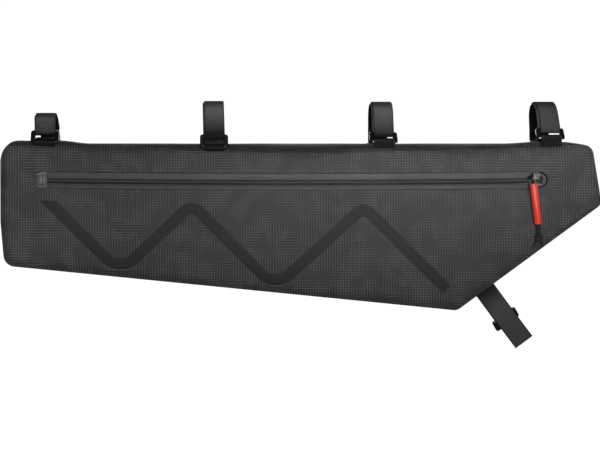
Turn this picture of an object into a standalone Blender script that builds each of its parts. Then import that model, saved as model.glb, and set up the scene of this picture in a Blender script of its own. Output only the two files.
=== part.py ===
"""Bicycle frame bag: a hollow welded body that hangs from a top tube on four strap loops.

X runs along the bag towards the nose, the zipped panel faces -Y and Z is up.
The origin is on the axis of the top tube, above the middle of the bag.
"""

import math
from collections import namedtuple

import bmesh
import bpy
from mathutils import Matrix, Vector

# Driving sizes, in metres
BAG_LENGTH = 0.5285
BAG_DEPTH = 0.1468
TOP_WIDTH = 0.054
BELLY_WIDTH = 0.047
SHELL_WALL = 0.0015
TUBE_RADIUS = 0.016
TOUCH_GAP = 0.0003

CORNER_RADIUS = 0.017
EDGE_ROLL = 0.008
PANEL_CROWN = 0.0042
CROWN_FADE = 0.055
TOP_SLUMP = 0.95
GUSSET_RISE = 0.0011
LIFT_DEPTH = 0.026

STRAP_WIDTH = 0.0177
STRAP_THICKNESS = 0.0014
STRAP_REACH = 0.0171
PATCH_WIDTH = 0.0235
PATCH_DEPTH = 0.033
PATCH_THICKNESS = 0.0012
PATCH_CORNER = 0.003
PATCH_MARGIN = 0.002
TAB_THICKNESS = 0.0012
TAB_WIDTH = 0.0178

RING_WIDTH = 0.0247
RING_HEIGHT = 0.013
RING_SIDE = 0.0030
RING_BAR = 0.003
RING_EDGE = 0.0009
RING_STAND = 0.0006

WINDOW_SHARE = -0.01665
WINDOW_LENGTH = 0.4495
WINDOW_HEIGHT = 0.0144
WINDOW_DROP = 0.0318
ZIP_SAG = 0.0018
SLIT_OFFSET = 0.0021
TAPE_THICKNESS = 0.0012
TAPE_RECESS = 0.0006

SLIDER_LENGTH = 0.0148
SLIDER_WIDTH = 0.0108
SLIDER_PLATE = 0.0016
BRIDGE_HEIGHT = 0.0042
BRIDGE_BAR = 0.0016
BRIDGE_WIDTH = 0.0032
ZIP_END_REACH = 0.0044
ZIP_END_BLOCK = 0.0082
ZIP_END_RISE = 0.0013
DOCK_WALL = 0.0014
DOCK_HEIGHT = 0.0026

CORD_DIAMETER = 0.0016
SLEEVE_LENGTH = 0.0356
SLEEVE_RADIUS = 0.0034
SLEEVE_BORE = 0.0022
KNOT_LENGTH = 0.0068
KNOT_WIDTH = 0.0072

BAND_WIDTH = 0.0126
BAND_THICKNESS = 0.0006

DOWN_STRAP_SHARE = 0.213
DOWN_STRAP_LENGTH = 0.0565
DOWN_RING_REACH = 0.0365
DOWN_STRAP_SET = 0.0078
DOWN_STRAP_HOLD = 0.0095

# The plane of the bag's top and the ends of the bag
TOP_Z = -(TUBE_RADIUS + PATCH_THICKNESS + STRAP_THICKNESS)
REAR_X = -BAG_LENGTH / 2
PANEL_TURNS = 7
ARC_STEPS = 4
ROLL_ANGLES = (0.0, 30.0, 60.0, 90.0)

# Corners of the side outline. x is a share of BAG_LENGTH, z of BAG_DEPTH below the top,
# radius of CORNER_RADIUS and roll of EDGE_ROLL.
Corner = namedtuple("Corner", "x z radius roll")
OUTLINE = {
    "rear_top": Corner(-0.4992, 0.0, 1.0, 1.0),
    "shoulder": Corner(0.4416, 0.0, 0.0, 1.0),
    "nose_top": Corner(0.4858, -0.0140, 0.50, 0.48),
    "nose_low": Corner(0.5010, -0.3590, 0.41, 0.45),
    "belly": Corner(0.2590, -1.0000, 0.60, 0.95),
    "rear_low": Corner(-0.4930, -0.7316, 0.62, 1.0),
    "rear_mid": Corner(-0.4992, -0.4666, 0.0, 1.0),
}

# One row for each strap. x is a share of BAG_LENGTH, lift raises the bag's top there,
# loop is the loop's outer top and foot the ring's lower bar, both above the tube's axis
# as shares of TUBE_RADIUS, tilt leans the ring's top towards the tube in degrees, and
# near is the loop's reach on the ring's side as a share of the ring's distance.
Strap = namedtuple("Strap", "name x lift loop foot tilt near")
STRAPS = (
    Strap("1", -0.4230, 0.0030, 0.640, -1.10, 24.0, 0.6626),
    Strap("2", -0.1429, 0.0004, 1.265, -1.37, 14.0, 0.6004),
    Strap("3", 0.1386, 0.0004, 1.265, -1.06, 42.0, 0.860),
    Strap("4", 0.4155, 0.0019, 1.265, -0.86, 40.0, 0.856),
)
SLUMP_BETWEEN = (0.15, 1.0, 0.6)

# Centre line of the zigzag band. x is a share of BAG_LENGTH, z of BAG_DEPTH below the
# top, and turn is the turn's radius as a share of BAND_WIDTH.
Turn = namedtuple("Turn", "x z turn")
ZIGZAG = (
    Turn(-0.4180, -0.3400, 0.0),
    Turn(-0.2980, -0.7660, 1.45),
    Turn(-0.1792, -0.3620, 0.75),
    Turn(-0.0415, -0.8570, 1.40),
    Turn(0.1047, -0.3810, 0.56),
    Turn(0.2480, -0.8850, 0.0),
)

# Route of the pull cord from the slider's seat, in metres: from the knot up through the
# sleeve, round the slider's bridge and back down through the sleeve to the knot.
PULL_ROUTE = (
    (-0.0001, -0.0007, -0.0473),
    (-0.0002, -0.0015, -0.0430),
    (-0.0006, -0.0023, -0.0385),
    (-0.0024, -0.0036, -0.0268),
    (-0.0041, -0.0048, -0.0150),
    (-0.0058, -0.0060, -0.0033),
    (-0.0064, -0.0049, -0.0016),
    (-0.0068, -0.0035, 0.0001),
    (-0.0070, -0.0032, 0.0021),
    (-0.0072, -0.0039, 0.0043),
    (-0.0075, -0.0059, 0.0056),
    (-0.0078, -0.0081, 0.0049),
    (-0.0081, -0.0090, 0.0027),
    (-0.0083, -0.0087, 0.0003),
    (-0.0082, -0.0076, -0.0019),
    (-0.0079, -0.0060, -0.0033),
    (-0.0062, -0.0048, -0.0150),
    (-0.0045, -0.0036, -0.0268),
    (-0.0027, -0.0023, -0.0385),
    (-0.0021, -0.0015, -0.0430),
    (-0.0018, -0.0007, -0.0473),
)
SLEEVE_TOP_POINTS = (5, 15)
SLEEVE_LOW_POINTS = (2, 18)


def smooth_step(share):
    """Rise smoothly from 0 to 1 as share goes from 0 to 1."""
    share = min(max(share, 0.0), 1.0)
    return share * share * (3.0 - 2.0 * share)


def blend(start, end, share):
    """Point or number between start and end."""
    return start + (end - start) * share


def corner_point(name):
    """Corner of the side outline, as X and height above the top plane."""
    corner = OUTLINE[name]
    return Vector((corner.x * BAG_LENGTH, corner.z * BAG_DEPTH))


def half_width(height):
    """Half the bag's width at a height measured from the top plane."""
    share = min(max(-height / BAG_DEPTH, 0.0), 1.0)
    return blend(TOP_WIDTH, BELLY_WIDTH, share) / 2


def floor_height(x):
    """Height of the lower outline at x, without its rounded corners."""
    belly = corner_point("belly")
    rear = corner_point("rear_low")
    nose = corner_point("nose_low")
    along_bottom = (x - rear.x) / (belly.x - rear.x)
    along_slant = (x - belly.x) / (nose.x - belly.x)
    return max(blend(rear.y, belly.y, along_bottom), blend(belly.y, nose.y, along_slant))


def panel_crown(x, height):
    """How far the side panel bulges beyond its edges."""
    across = min(max(height / min(floor_height(x), -EDGE_ROLL), 0.0), 1.0)
    ends = smooth_step((x - REAR_X) / CROWN_FADE) * smooth_step((-REAR_X - x) / CROWN_FADE)
    return PANEL_CROWN * ends * (1.0 - abs(2.0 * across - 1.0) ** 3)


def panel_y(x, z):
    """Y of the zipped panel's outer face."""
    height = z - TOP_Z
    return -(half_width(height) + panel_crown(x, height))


def strap_x(strap):
    """Place of a strap along the bag."""
    return strap.x * BAG_LENGTH


def top_lift(x):
    """How far the straps pull the bag's top up at x."""
    lift = 0.0
    flat = PATCH_WIDTH / 2 + PATCH_MARGIN
    for number, strap in enumerate(STRAPS):
        away = x - strap_x(strap)
        if number == 0:
            away = max(away, 0.0)
        lift = max(lift, strap.lift * (1.0 - smooth_step((abs(away) - flat) / LIFT_DEPTH)))
    return lift


def slump(x):
    """Share by which the top edge rolls over between straps."""
    for left, right, share in zip(STRAPS, STRAPS[1:], SLUMP_BETWEEN):
        start = strap_x(left) + PATCH_WIDTH / 2
        end = strap_x(right) - PATCH_WIDTH / 2
        if start < x < end:
            return share * math.sin(math.pi * (x - start) / (end - start)) ** 2
    return 0.0


def between_straps(x):
    """0 at a strap's patch and 1 clear of it."""
    flat = PATCH_WIDTH / 2 + PATCH_MARGIN
    nearest = min(abs(x - strap_x(strap)) for strap in STRAPS)
    return smooth_step((nearest - flat) / LIFT_DEPTH)


def lifted_z(x, height):
    """World Z of a point whose height is measured from the unlifted top plane."""
    return TOP_Z + height + top_lift(x) * smooth_step(1.0 + height / LIFT_DEPTH)


def top_surface(x):
    """World Z of the bag's top where a patch lies on it."""
    return TOP_Z + top_lift(x)


def fillet(before, corner, after, radius, steps):
    """Points and outward normals of a rounded corner on a clockwise outline."""
    way_in = (corner - before).normalized()
    way_out = (after - corner).normalized()
    turn = way_in.angle(way_out)
    reach = radius * math.tan(turn / 2)
    start = corner - way_in * reach
    normal = Vector((-way_in.y, way_in.x))
    centre = start - normal * radius
    points = []
    for step in range(steps + 1):
        angle = -turn * step / steps
        outward = Matrix.Rotation(angle, 2) @ normal
        points.append((centre + outward * radius, outward))
    return points


def edge_normal(start, end):
    """Outward normal of a straight edge on a clockwise outline."""
    way = (end - start).normalized()
    return Vector((-way.y, way.x))


def top_stations():
    """X of the outline points on the top edge: round each patch and between straps."""
    flat = PATCH_WIDTH / 2 + PATCH_MARGIN
    fall = flat + LIFT_DEPTH * 0.7
    stations = []
    for number, strap in enumerate(STRAPS):
        here = strap_x(strap)
        if number > 0:
            stations.append((strap_x(STRAPS[number - 1]) + here) / 2)
            stations.append(here - fall)
        stations += [here - flat, here + flat]
        if number < len(STRAPS) - 1:
            stations.append(here + fall)
    return stations


def outline_chains():
    """Upper and lower chains of outline points, both from the rear to the nose."""
    corners = {name: corner_point(name) for name in OUTLINE}
    rows = {name: OUTLINE[name] for name in OUTLINE}

    def arc(before, name, after):
        radius = rows[name].radius * CORNER_RADIUS
        roll = min(rows[name].roll * EDGE_ROLL, 0.92 * radius)
        points = fillet(corners[before], corners[name], corners[after], radius, ARC_STEPS)
        return [(point, normal, roll) for point, normal in points]

    rear_top = arc("rear_mid", "rear_top", "shoulder")
    nose_top = arc("shoulder", "nose_top", "nose_low")
    nose_low = arc("nose_top", "nose_low", "belly")
    belly = arc("nose_low", "belly", "rear_low")
    rear_low = arc("belly", "rear_low", "rear_mid")

    up = Vector((0.0, 1.0))
    top = []
    for x in top_stations():
        roll = EDGE_ROLL * (1.0 + TOP_SLUMP * slump(x))
        top.append((Vector((x, corners["rear_top"].y)), up, roll))
    upper = rear_top + top + nose_top

    def straight(start, end, count):
        normal = edge_normal(end[0], start[0])
        points = []
        for step in range(1, count):
            share = step / count
            point = start[0].lerp(end[0], share)
            points.append((point, normal, blend(start[2], end[2], share)))
        return points

    spans = len(top) + 1 - ARC_STEPS
    bottom_count = round(spans * 0.64)
    slant_count = spans - bottom_count
    rear_low.reverse()
    belly.reverse()
    nose_low.reverse()
    lower = rear_low + straight(rear_low[-1], belly[0], bottom_count) + belly
    lower += straight(belly[-1], nose_low[0], slant_count) + nose_low
    return upper, lower


def end_column(start, end, through=None):
    """Outline points between the upper and the lower chain at one end of the bag."""
    points = []
    for step in range(1, PANEL_TURNS):
        share = step / PANEL_TURNS
        point = start[0].lerp(end[0], share)
        normal = edge_normal(end[0], start[0])
        if through is not None:
            half = 4 / PANEL_TURNS
            if share <= half:
                point = start[0].lerp(through, share / half)
            else:
                point = through.lerp(end[0], (share - half) / (1.0 - half))
        else:
            normal = -normal
        points.append((point, normal, blend(start[2], end[2], share)))
    return points


def shell_mesh():
    """Closed outer skin of the bag: two crowned panels joined by a rolled gusset."""
    upper, lower = outline_chains()
    count = len(upper)
    rear = end_column(upper[0], lower[0], corner_point("rear_mid"))
    nose = end_column(upper[-1], lower[-1])
    loop = upper + nose + lower[::-1] + rear[::-1]
    skin = bmesh.new()

    def ring(angle, side):
        turn = math.radians(angle)
        verts = []
        for point, normal, roll in loop:
            inner = point - normal * roll
            place = point - normal * roll * (1.0 - math.sin(turn))
            crown = panel_crown(inner.x, inner.y) * math.cos(turn)
            depth = half_width(inner.y) + crown - roll * (1.0 - math.cos(turn))
            verts.append(skin.verts.new((place.x, side * depth, lifted_z(place.x, place.y))))
        return verts

    def middle_ring():
        verts = []
        for point, normal, roll in loop:
            facing_up = max(normal.y, 0.0)
            place = point + normal * GUSSET_RISE * facing_up * between_straps(point.x)
            verts.append(skin.verts.new((place.x, 0.0, lifted_z(place.x, place.y))))
        return verts

    def bridge(first, second):
        for index in range(len(loop)):
            after = (index + 1) % len(loop)
            skin.faces.new((first[index], first[after], second[after], second[index]))

    def panel(edge, side):
        rows = []
        for index in range(count):
            top = edge[index]
            low = edge[count + len(nose) + count - 1 - index]
            if index == 0:
                between = edge[count + len(nose) + count:][::-1]
            elif index == count - 1:
                between = edge[count:count + len(nose)]
            else:
                between = []
                for step in range(1, PANEL_TURNS):
                    place = top.co.lerp(low.co, step / PANEL_TURNS)
                    place.y = -side * panel_y(place.x, place.z)
                    between.append(skin.verts.new(place))
            rows.append([top] + between + [low])
        for left, right in zip(rows, rows[1:]):
            for step in range(PANEL_TURNS):
                skin.faces.new((left[step], right[step], right[step + 1], left[step + 1]))

    near = [ring(angle, -1) for angle in ROLL_ANGLES]
    far = [ring(angle, 1) for angle in reversed(ROLL_ANGLES)]
    rings = near + [middle_ring()] + far
    for first, second in zip(rings, rings[1:]):
        bridge(first, second)
    panel(rings[0], -1)
    panel(rings[-1], 1)
    bmesh.ops.recalc_face_normals(skin, faces=skin.faces)
    mesh = bpy.data.meshes.new("main_shell")
    skin.to_mesh(mesh)
    skin.free()
    return mesh


def material(name, colour, roughness, metallic=0.0):
    """Plain Principled material."""
    finish = bpy.data.materials.new(name)
    finish.use_nodes = True
    shader = finish.node_tree.nodes["Principled BSDF"]
    shader.inputs["Base Color"].default_value = (*colour, 1.0)
    shader.inputs["Roughness"].default_value = roughness
    shader.inputs["Metallic"].default_value = metallic
    return finish


def clear_scene():
    """Remove what the file holds."""
    for thing in list(bpy.data.objects):
        bpy.data.objects.remove(thing, do_unlink=True)


def collection(name):
    """New collection in the scene."""
    group = bpy.data.collections.new(name)
    bpy.context.scene.collection.children.link(group)
    return group


def add(name, data, finish, group):
    """Put mesh or curve data in the scene as a named piece."""
    piece = bpy.data.objects.new(name, data)
    group.objects.link(piece)
    if finish is not None:
        piece.data.materials.append(finish)
    return piece


def flat_curve(name, outlines, thickness, edge=0.0):
    """Closed flat outlines, filled and as thick as said, with the edge cut off all round."""
    curve = bpy.data.curves.new(name, "CURVE")
    curve.dimensions = "2D"
    curve.fill_mode = "BOTH"
    curve.extrude = thickness / 2 - edge
    curve.bevel_depth = edge
    curve.bevel_resolution = 0
    curve.offset = -edge
    for outline in outlines:
        spline = curve.splines.new("POLY")
        spline.points.add(len(outline) - 1)
        for point, (x, y) in zip(spline.points, outline):
            point.co = (x, y, 0.0, 1.0)
        spline.use_cyclic_u = True
    return curve


def solid_from_curve(name, curve, place, finish, group):
    """Make a curve a closed mesh piece at a place."""
    guide = add(name + "_guide", curve, None, group)
    guide.matrix_world = place
    bpy.context.view_layer.update()
    graph = bpy.context.evaluated_depsgraph_get()
    mesh = bpy.data.meshes.new_from_object(guide.evaluated_get(graph))
    mesh.name = name
    bpy.data.objects.remove(guide, do_unlink=True)
    bpy.data.curves.remove(curve)
    weld = bmesh.new()
    weld.from_mesh(mesh)
    bmesh.ops.remove_doubles(weld, verts=weld.verts, dist=0.00001)
    bmesh.ops.recalc_face_normals(weld, faces=weld.faces)
    weld.to_mesh(mesh)
    weld.free()
    mesh.materials.clear()
    piece = add(name, mesh, finish, group)
    piece.matrix_world = place
    return piece


def modify(piece, kind, **settings):
    """Add a modifier with its settings."""
    modifier = piece.modifiers.new(kind.title(), kind)
    for key, value in settings.items():
        setattr(modifier, key, value)
    return modifier


def axes(x_axis, y_axis, z_axis, origin):
    """Matrix whose columns are three axes and an origin."""
    matrix = Matrix.Identity(4)
    for column, axis in enumerate((x_axis, y_axis, z_axis, origin)):
        for row in range(3):
            matrix[row][column] = axis[row]
    return matrix


def rounded_box(width, height, radius, steps=4):
    """Outline of a rectangle with round corners, centred on its middle."""
    points = []
    for corner, (across, up) in enumerate(((1, 1), (-1, 1), (-1, -1), (1, -1))):
        centre_x = across * (width / 2 - radius)
        centre_y = up * (height / 2 - radius)
        for step in range(steps + 1):
            angle = math.radians(90.0 * (corner + step / steps))
            x = centre_x + radius * math.cos(angle)
            y = centre_y + radius * math.sin(angle)
            points.append((x, y))
    return points


def smooth_line(points, steps):
    """Smooth curve through points, as a list with steps points in each span."""
    ends = [points[0] * 2 - points[1]] + list(points) + [points[-1] * 2 - points[-2]]
    line = []
    for index in range(1, len(ends) - 2):
        before, start, end, after = ends[index - 1:index + 3]
        for step in range(steps):
            t = step / steps
            bend = (2 * before - 5 * start + 4 * end - after) * t * t
            twist = (3 * start - before - 3 * end + after) * t * t * t
            line.append((2 * start + (end - before) * t + bend + twist) / 2)
    line.append(points[-1].copy())
    return line


def ribbon_outline(line, thickness):
    """Outline of a strip of cloth seen on its edge, along a line of points."""
    left, right = [], []
    for index, point in enumerate(line):
        before = line[max(index - 1, 0)]
        after = line[min(index + 1, len(line) - 1)]
        way = (after - before).normalized()
        normal = Vector((-way.y, way.x)) * thickness / 2
        left.append(point + normal)
        right.append(point - normal)
    return [(point.x, point.y) for point in left + right[::-1]]


def ribbon(name, line, thickness, width, place, finish, group):
    """Strip of cloth whose edge view is drawn in the plane of place."""
    curve = flat_curve(name, [ribbon_outline(line, thickness)], width)
    return solid_from_curve(name, curve, place, finish, group)


def panel_place(y):
    """Plane parallel to the bag's middle plane at y: its own Y is world Z."""
    return axes((1, 0, 0), (0, 0, 1), (0, -1, 0), (0, y, 0))


def strap_plane(x):
    """Plane across the bag at x: its own X is world Y and its own Y is world Z."""
    return axes((0, 1, 0), (0, 0, 1), (1, 0, 0), (x, 0, 0))


def wrap(centre, radius, start, end, steps=6):
    """Points on an arc from one angle to another, in degrees."""
    points = []
    for step in range(steps + 1):
        angle = math.radians(blend(start, end, step / steps))
        points.append(centre + Vector((math.cos(angle), math.sin(angle))) * radius)
    return points


def touch_angle(centre, radius, point, side):
    """Angle in degrees where a line from point touches a circle, on its side 1 or -1."""
    way = point - centre
    spread = math.acos(radius / way.length)
    return math.degrees(math.atan2(way.y, way.x) + side * spread)


def wrap_between(centre, radius, before, after, steps=8):
    """Arc clockwise round a bar between the lines that reach it from two points."""
    start = touch_angle(centre, radius, before, -1)
    end = touch_angle(centre, radius, after, 1)
    while end > start:
        end -= 360.0
    return wrap(centre, radius, start, end, steps)


def roll_at(x, stand_off):
    """Centre and half sizes of the near top edge's roll at x, in the plane across the bag."""
    crown = panel_crown(x, -EDGE_ROLL)
    centre = Vector((EDGE_ROLL - half_width(-EDGE_ROLL), top_surface(x) - EDGE_ROLL))
    return centre, EDGE_ROLL + crown + stand_off, EDGE_ROLL + stand_off


def roll_point(angle, x, stand_off):
    """Point standing off the near top edge's roll, from 0 degrees at its foot to 90."""
    centre, reach, rise = roll_at(x, stand_off)
    turn = math.radians(angle)
    return centre + Vector((-reach * math.cos(turn), rise * math.sin(turn)))


def ring_bars(strap):
    """Centres of a ring's lower and upper bars, in the plane across the bag."""
    foot_z = strap.foot * TUBE_RADIUS
    clear = TOUCH_GAP * 3 + TAB_THICKNESS + RING_BAR / 2
    centre, reach, rise = roll_at(strap_x(strap), clear)
    share = min((foot_z - centre.y) / rise, 1.0)
    over_roll = centre.x - reach * math.sqrt(1.0 - share * share)
    foot = Vector((min(over_roll, RING_STAND - TOP_WIDTH / 2), foot_z))
    lean = math.radians(strap.tilt)
    head = foot + Vector((math.sin(lean), math.cos(lean))) * (RING_HEIGHT - RING_BAR)
    return foot, head


def make_strap(strap, finish, group):
    """Strap from its base patch over the tube, round the ring and back over itself."""
    foot, head = ring_bars(strap)
    x = strap_x(strap)
    base_z = top_surface(x) + TOUCH_GAP * 2 + PATCH_THICKNESS + STRAP_THICKNESS / 2
    loop_top = strap.loop * TUBE_RADIUS - STRAP_THICKNESS * 1.5 - TOUCH_GAP
    loop_low = -TUBE_RADIUS
    middle = (loop_top + loop_low) / 2
    rise = (loop_top - loop_low) / 2
    layer = STRAP_THICKNESS + TOUCH_GAP

    def loop_point(angle, extra):
        turn = math.radians(angle)
        across = math.cos(turn)
        reach = (STRAP_REACH if across > 0.0 else -strap.near * head.x) + extra
        return Vector((reach * across, middle + (rise + extra) * math.sin(turn)))

    turn_radius = RING_BAR / 2 + TOUCH_GAP + STRAP_THICKNESS / 2
    base = [
        Vector((STRAP_REACH * 0.10, base_z)),
        Vector((STRAP_REACH * 0.55, base_z)),
        Vector((STRAP_REACH * 0.92, base_z + STRAP_THICKNESS * 0.14)),
        Vector((STRAP_REACH * 1.12, base_z + STRAP_THICKNESS * 2.14)),
    ]
    over = [loop_point(angle, 0.0) for angle in (2, 28, 52, 74, 96, 120, 145, 165)]
    back = [loop_point(angle, layer) for angle in (158, 138, 116, 92, 68, 46)]
    round_bar = wrap_between(head, turn_radius, over[-1], back[0])
    line = smooth_line(base + over, 3)[:-1]
    line += [over[-1]] + round_bar
    line += smooth_line(back, 3)
    return ribbon("strap_" + strap.name, line, STRAP_THICKNESS, STRAP_WIDTH,
                  strap_plane(x), finish, group)


def make_patch(strap, finish, group):
    """Base patch lying on the bag's top under a strap."""
    x = strap_x(strap)
    z = top_surface(x) + TOUCH_GAP + PATCH_THICKNESS / 2
    outline = rounded_box(PATCH_WIDTH, PATCH_DEPTH, PATCH_CORNER)
    curve = flat_curve("strap_patch", [outline], PATCH_THICKNESS)
    return solid_from_curve("strap_patch_" + strap.name, curve,
                            Matrix.Translation((x, 0.0, z)), finish, group)


def make_tab(strap, finish, group):
    """Webbing from the near top edge up over the ring's lower bar and back to the patch."""
    x = strap_x(strap)
    foot = ring_bars(strap)[0]
    skin = TOUCH_GAP + TAB_THICKNESS / 2
    over_bar = RING_BAR / 2 + skin
    shelf_z = top_surface(x) + TOUCH_GAP + PATCH_THICKNESS + skin
    start = roll_point(2.0, x, skin + TOUCH_GAP)
    rise = roll_point(18.0, x, skin + TOUCH_GAP)
    front = [start, rise] if foot.y - rise.y > over_bar else [start]
    back = [Vector((-PATCH_DEPTH * share, shelf_z)) for share in (0.53, 0.38, 0.22, 0.06)]
    if foot.y < shelf_z - TAB_THICKNESS:
        back = [roll_point(62.0, x, skin + TOUCH_GAP)] + back
    line = front + wrap_between(foot, over_bar, front[-1], back[0]) + smooth_line(back, 2)
    return ribbon("ring_tab_" + strap.name, line, TAB_THICKNESS, TAB_WIDTH,
                  strap_plane(x), finish, group)


def ring_solid(name, place, finish, group):
    """Moulded rectangular ring with a slot, lying in the plane of place."""
    outer = rounded_box(RING_WIDTH, RING_HEIGHT, RING_BAR * 0.8)
    half_slot = RING_WIDTH / 2 - RING_SIDE
    half_height = RING_HEIGHT / 2 - RING_BAR
    slot = [(half_slot, half_height), (half_slot, -half_height),
            (-half_slot, -half_height), (-half_slot, half_height)]
    curve = flat_curve(name, [outer, slot], RING_BAR, RING_EDGE)
    return solid_from_curve(name, curve, place, finish, group)


def make_ring(strap, finish, group):
    """Ring standing between its tab and the strap's turn."""
    foot, head = ring_bars(strap)
    centre = (foot + head) / 2
    way = (head - foot).normalized()
    up = Vector((0.0, way.x, way.y))
    across = Vector((1.0, 0.0, 0.0))
    place = axes(across, up, across.cross(up), (strap_x(strap), centre.x, centre.y))
    return ring_solid("ring_" + strap.name, place, finish, group)


def zip_z(x):
    """Height of the middle of the zip window at x."""
    share = (x - window_end(-1)) / WINDOW_LENGTH
    return TOP_Z - WINDOW_DROP - ZIP_SAG * math.sin(math.pi * min(max(share, 0.0), 1.0))


def window_end(side):
    """X of the zip window's rear (-1) or nose (1) end."""
    return WINDOW_SHARE * BAG_LENGTH + side * WINDOW_LENGTH / 2


def window_outline(shrink):
    """Outline of the zip window in X and Z, made smaller all round by shrink."""
    radius = WINDOW_HEIGHT / 2
    start = window_end(-1) + radius
    end = window_end(1) - radius
    points = []
    steps = 14
    for step in range(steps + 1):
        x = blend(start, end, step / steps)
        points.append((x, zip_z(x) + radius - shrink))
    for angle in range(75, -76, -15):
        turn = math.radians(angle)
        x = end + (radius - shrink) * math.cos(turn)
        points.append((x, zip_z(end) + (radius - shrink) * math.sin(turn)))
    for step in range(steps + 1):
        x = blend(end, start, step / steps)
        points.append((x, zip_z(x) - radius + shrink))
    for angle in range(255, 104, -15):
        turn = math.radians(angle)
        x = start + (radius - shrink) * math.cos(turn)
        points.append((x, zip_z(start) + (radius - shrink) * math.sin(turn)))
    return points


def make_shell(finish, group, cutters):
    """Hollow bag with the zip window cut through its near panel."""
    shell = add("main_shell", shell_mesh(), finish, group)
    modify(shell, "SOLIDIFY", thickness=SHELL_WALL, offset=-1.0)
    depth = TOP_WIDTH / 2
    curve = flat_curve("window_cutter", [window_outline(0.0)], depth)
    place = panel_place(-TOP_WIDTH / 2 - PANEL_CROWN)
    cutter = solid_from_curve("window_cutter", curve, place, None, cutters)
    cutter.hide_render = True
    cutter.display_type = "WIRE"
    modify(shell, "BOOLEAN", operation="DIFFERENCE", object=cutter, solver="EXACT")
    return shell


def tape_piece(name, edges, finish, group):
    """Zip tape between a lower and an upper edge, following the panel inside its window."""
    radius = WINDOW_HEIGHT / 2
    start = window_end(-1) + radius + ZIP_END_REACH + TOUCH_GAP
    end = window_end(1) - radius - TOUCH_GAP
    steps = 22
    tape = bmesh.new()
    rows = []
    for step in range(steps + 1):
        x = blend(start, end, step / steps)
        low, high = edges(x)
        row = []
        for z in (low, high):
            row.append(tape.verts.new((x, panel_y(x, z) + TAPE_RECESS, z)))
        rows.append(row)
    for left, right in zip(rows, rows[1:]):
        tape.faces.new((left[0], right[0], right[1], left[1]))
    mesh = bpy.data.meshes.new(name)
    tape.to_mesh(mesh)
    tape.free()
    piece = add(name, mesh, finish, group)
    modify(piece, "SOLIDIFY", thickness=TAPE_THICKNESS, offset=-1.0)
    return piece


def make_zip(tape_finish, end_finish, group):
    """The two tapes and the moulded ends of the zip."""
    half = WINDOW_HEIGHT / 2
    gap = TOUCH_GAP

    def upper(x):
        return zip_z(x) - SLIT_OFFSET + gap / 2, zip_z(x) + half - gap

    def lower(x):
        return zip_z(x) - half + gap, zip_z(x) - SLIT_OFFSET - gap / 2

    tape_piece("zip_tape_upper", upper, tape_finish, group)
    tape_piece("zip_tape_lower", lower, tape_finish, group)
    make_zip_end(end_finish, group)
    make_dock(end_finish, group)


def arc_points(centre_x, centre_z, radius, start, end, steps):
    """Points on an arc in X and Z, angles in degrees."""
    points = []
    for step in range(steps + 1):
        turn = math.radians(blend(start, end, step / steps))
        points.append((centre_x + radius * math.cos(turn), centre_z + radius * math.sin(turn)))
    return points


def panel_solid(name, outline, outer, inner, finish, group):
    """Plate parallel to the panel's middle plane, between two Y values."""
    curve = flat_curve(name, [outline], inner - outer)
    return solid_from_curve(name, curve, panel_place((outer + inner) / 2), finish, group)


def join(piece, other, cutters):
    """Fuse another solid into a piece."""
    for holder in list(other.users_collection):
        holder.objects.unlink(other)
    cutters.objects.link(other)
    other.hide_render = True
    other.display_type = "WIRE"
    modify(piece, "BOOLEAN", operation="UNION", object=other, solver="EXACT")


def make_zip_end(finish, group):
    """Moulded stop that fills the rear end of the window, with a low block on it."""
    cutters = bpy.data.collections["cutters"]
    half = WINDOW_HEIGHT / 2
    centre_x = window_end(-1) + half
    centre_z = zip_z(centre_x)
    radius = half - TOUCH_GAP
    face = panel_y(centre_x - half * 0.5, centre_z)
    base = arc_points(centre_x, centre_z, radius, 90.0, 270.0, 10)
    reach = centre_x + ZIP_END_REACH
    base += [(reach, zip_z(reach) - radius), (reach, zip_z(reach) + radius)]
    plug = panel_solid("zip_end", base, face + TAPE_RECESS, face + SHELL_WALL, finish, group)
    block = [(centre_x + x, centre_z + z)
             for x, z in rounded_box(ZIP_END_BLOCK, half * 1.2, half * 0.18, 3)]
    raised = panel_solid("zip_end_block", block, face - ZIP_END_RISE,
                         face + SHELL_WALL * 0.8, finish, group)
    join(plug, raised, cutters)


def make_dock(finish, group):
    """Moulded round dock at the nose end of the window: a base and a curved wall."""
    cutters = bpy.data.collections["cutters"]
    half = WINDOW_HEIGHT / 2
    centre_x = window_end(1) - half
    centre_z = zip_z(centre_x)
    radius = half - TOUCH_GAP
    face = panel_y(centre_x + half * 0.5, centre_z)
    base = arc_points(centre_x, centre_z, radius, -90.0, 90.0, 10)
    plug = panel_solid("zip_dock", base, face + TAPE_RECESS, face + SHELL_WALL, finish, group)
    outer = arc_points(centre_x, centre_z, radius, -84.0, 84.0, 14)
    inner = arc_points(centre_x, centre_z, radius - DOCK_WALL, 84.0, -84.0, 14)
    wall = panel_solid("zip_dock_wall", outer + inner, face - DOCK_HEIGHT,
                       face + SHELL_WALL * 0.8, finish, group)
    join(plug, wall, cutters)


def slider_seat():
    """Point on the panel where the slider's round nose is centred when it is parked."""
    nose_x = window_end(1) - WINDOW_HEIGHT / 2
    centre_z = zip_z(nose_x)
    return Vector((nose_x, panel_y(nose_x, centre_z) - TOUCH_GAP, centre_z))


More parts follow.
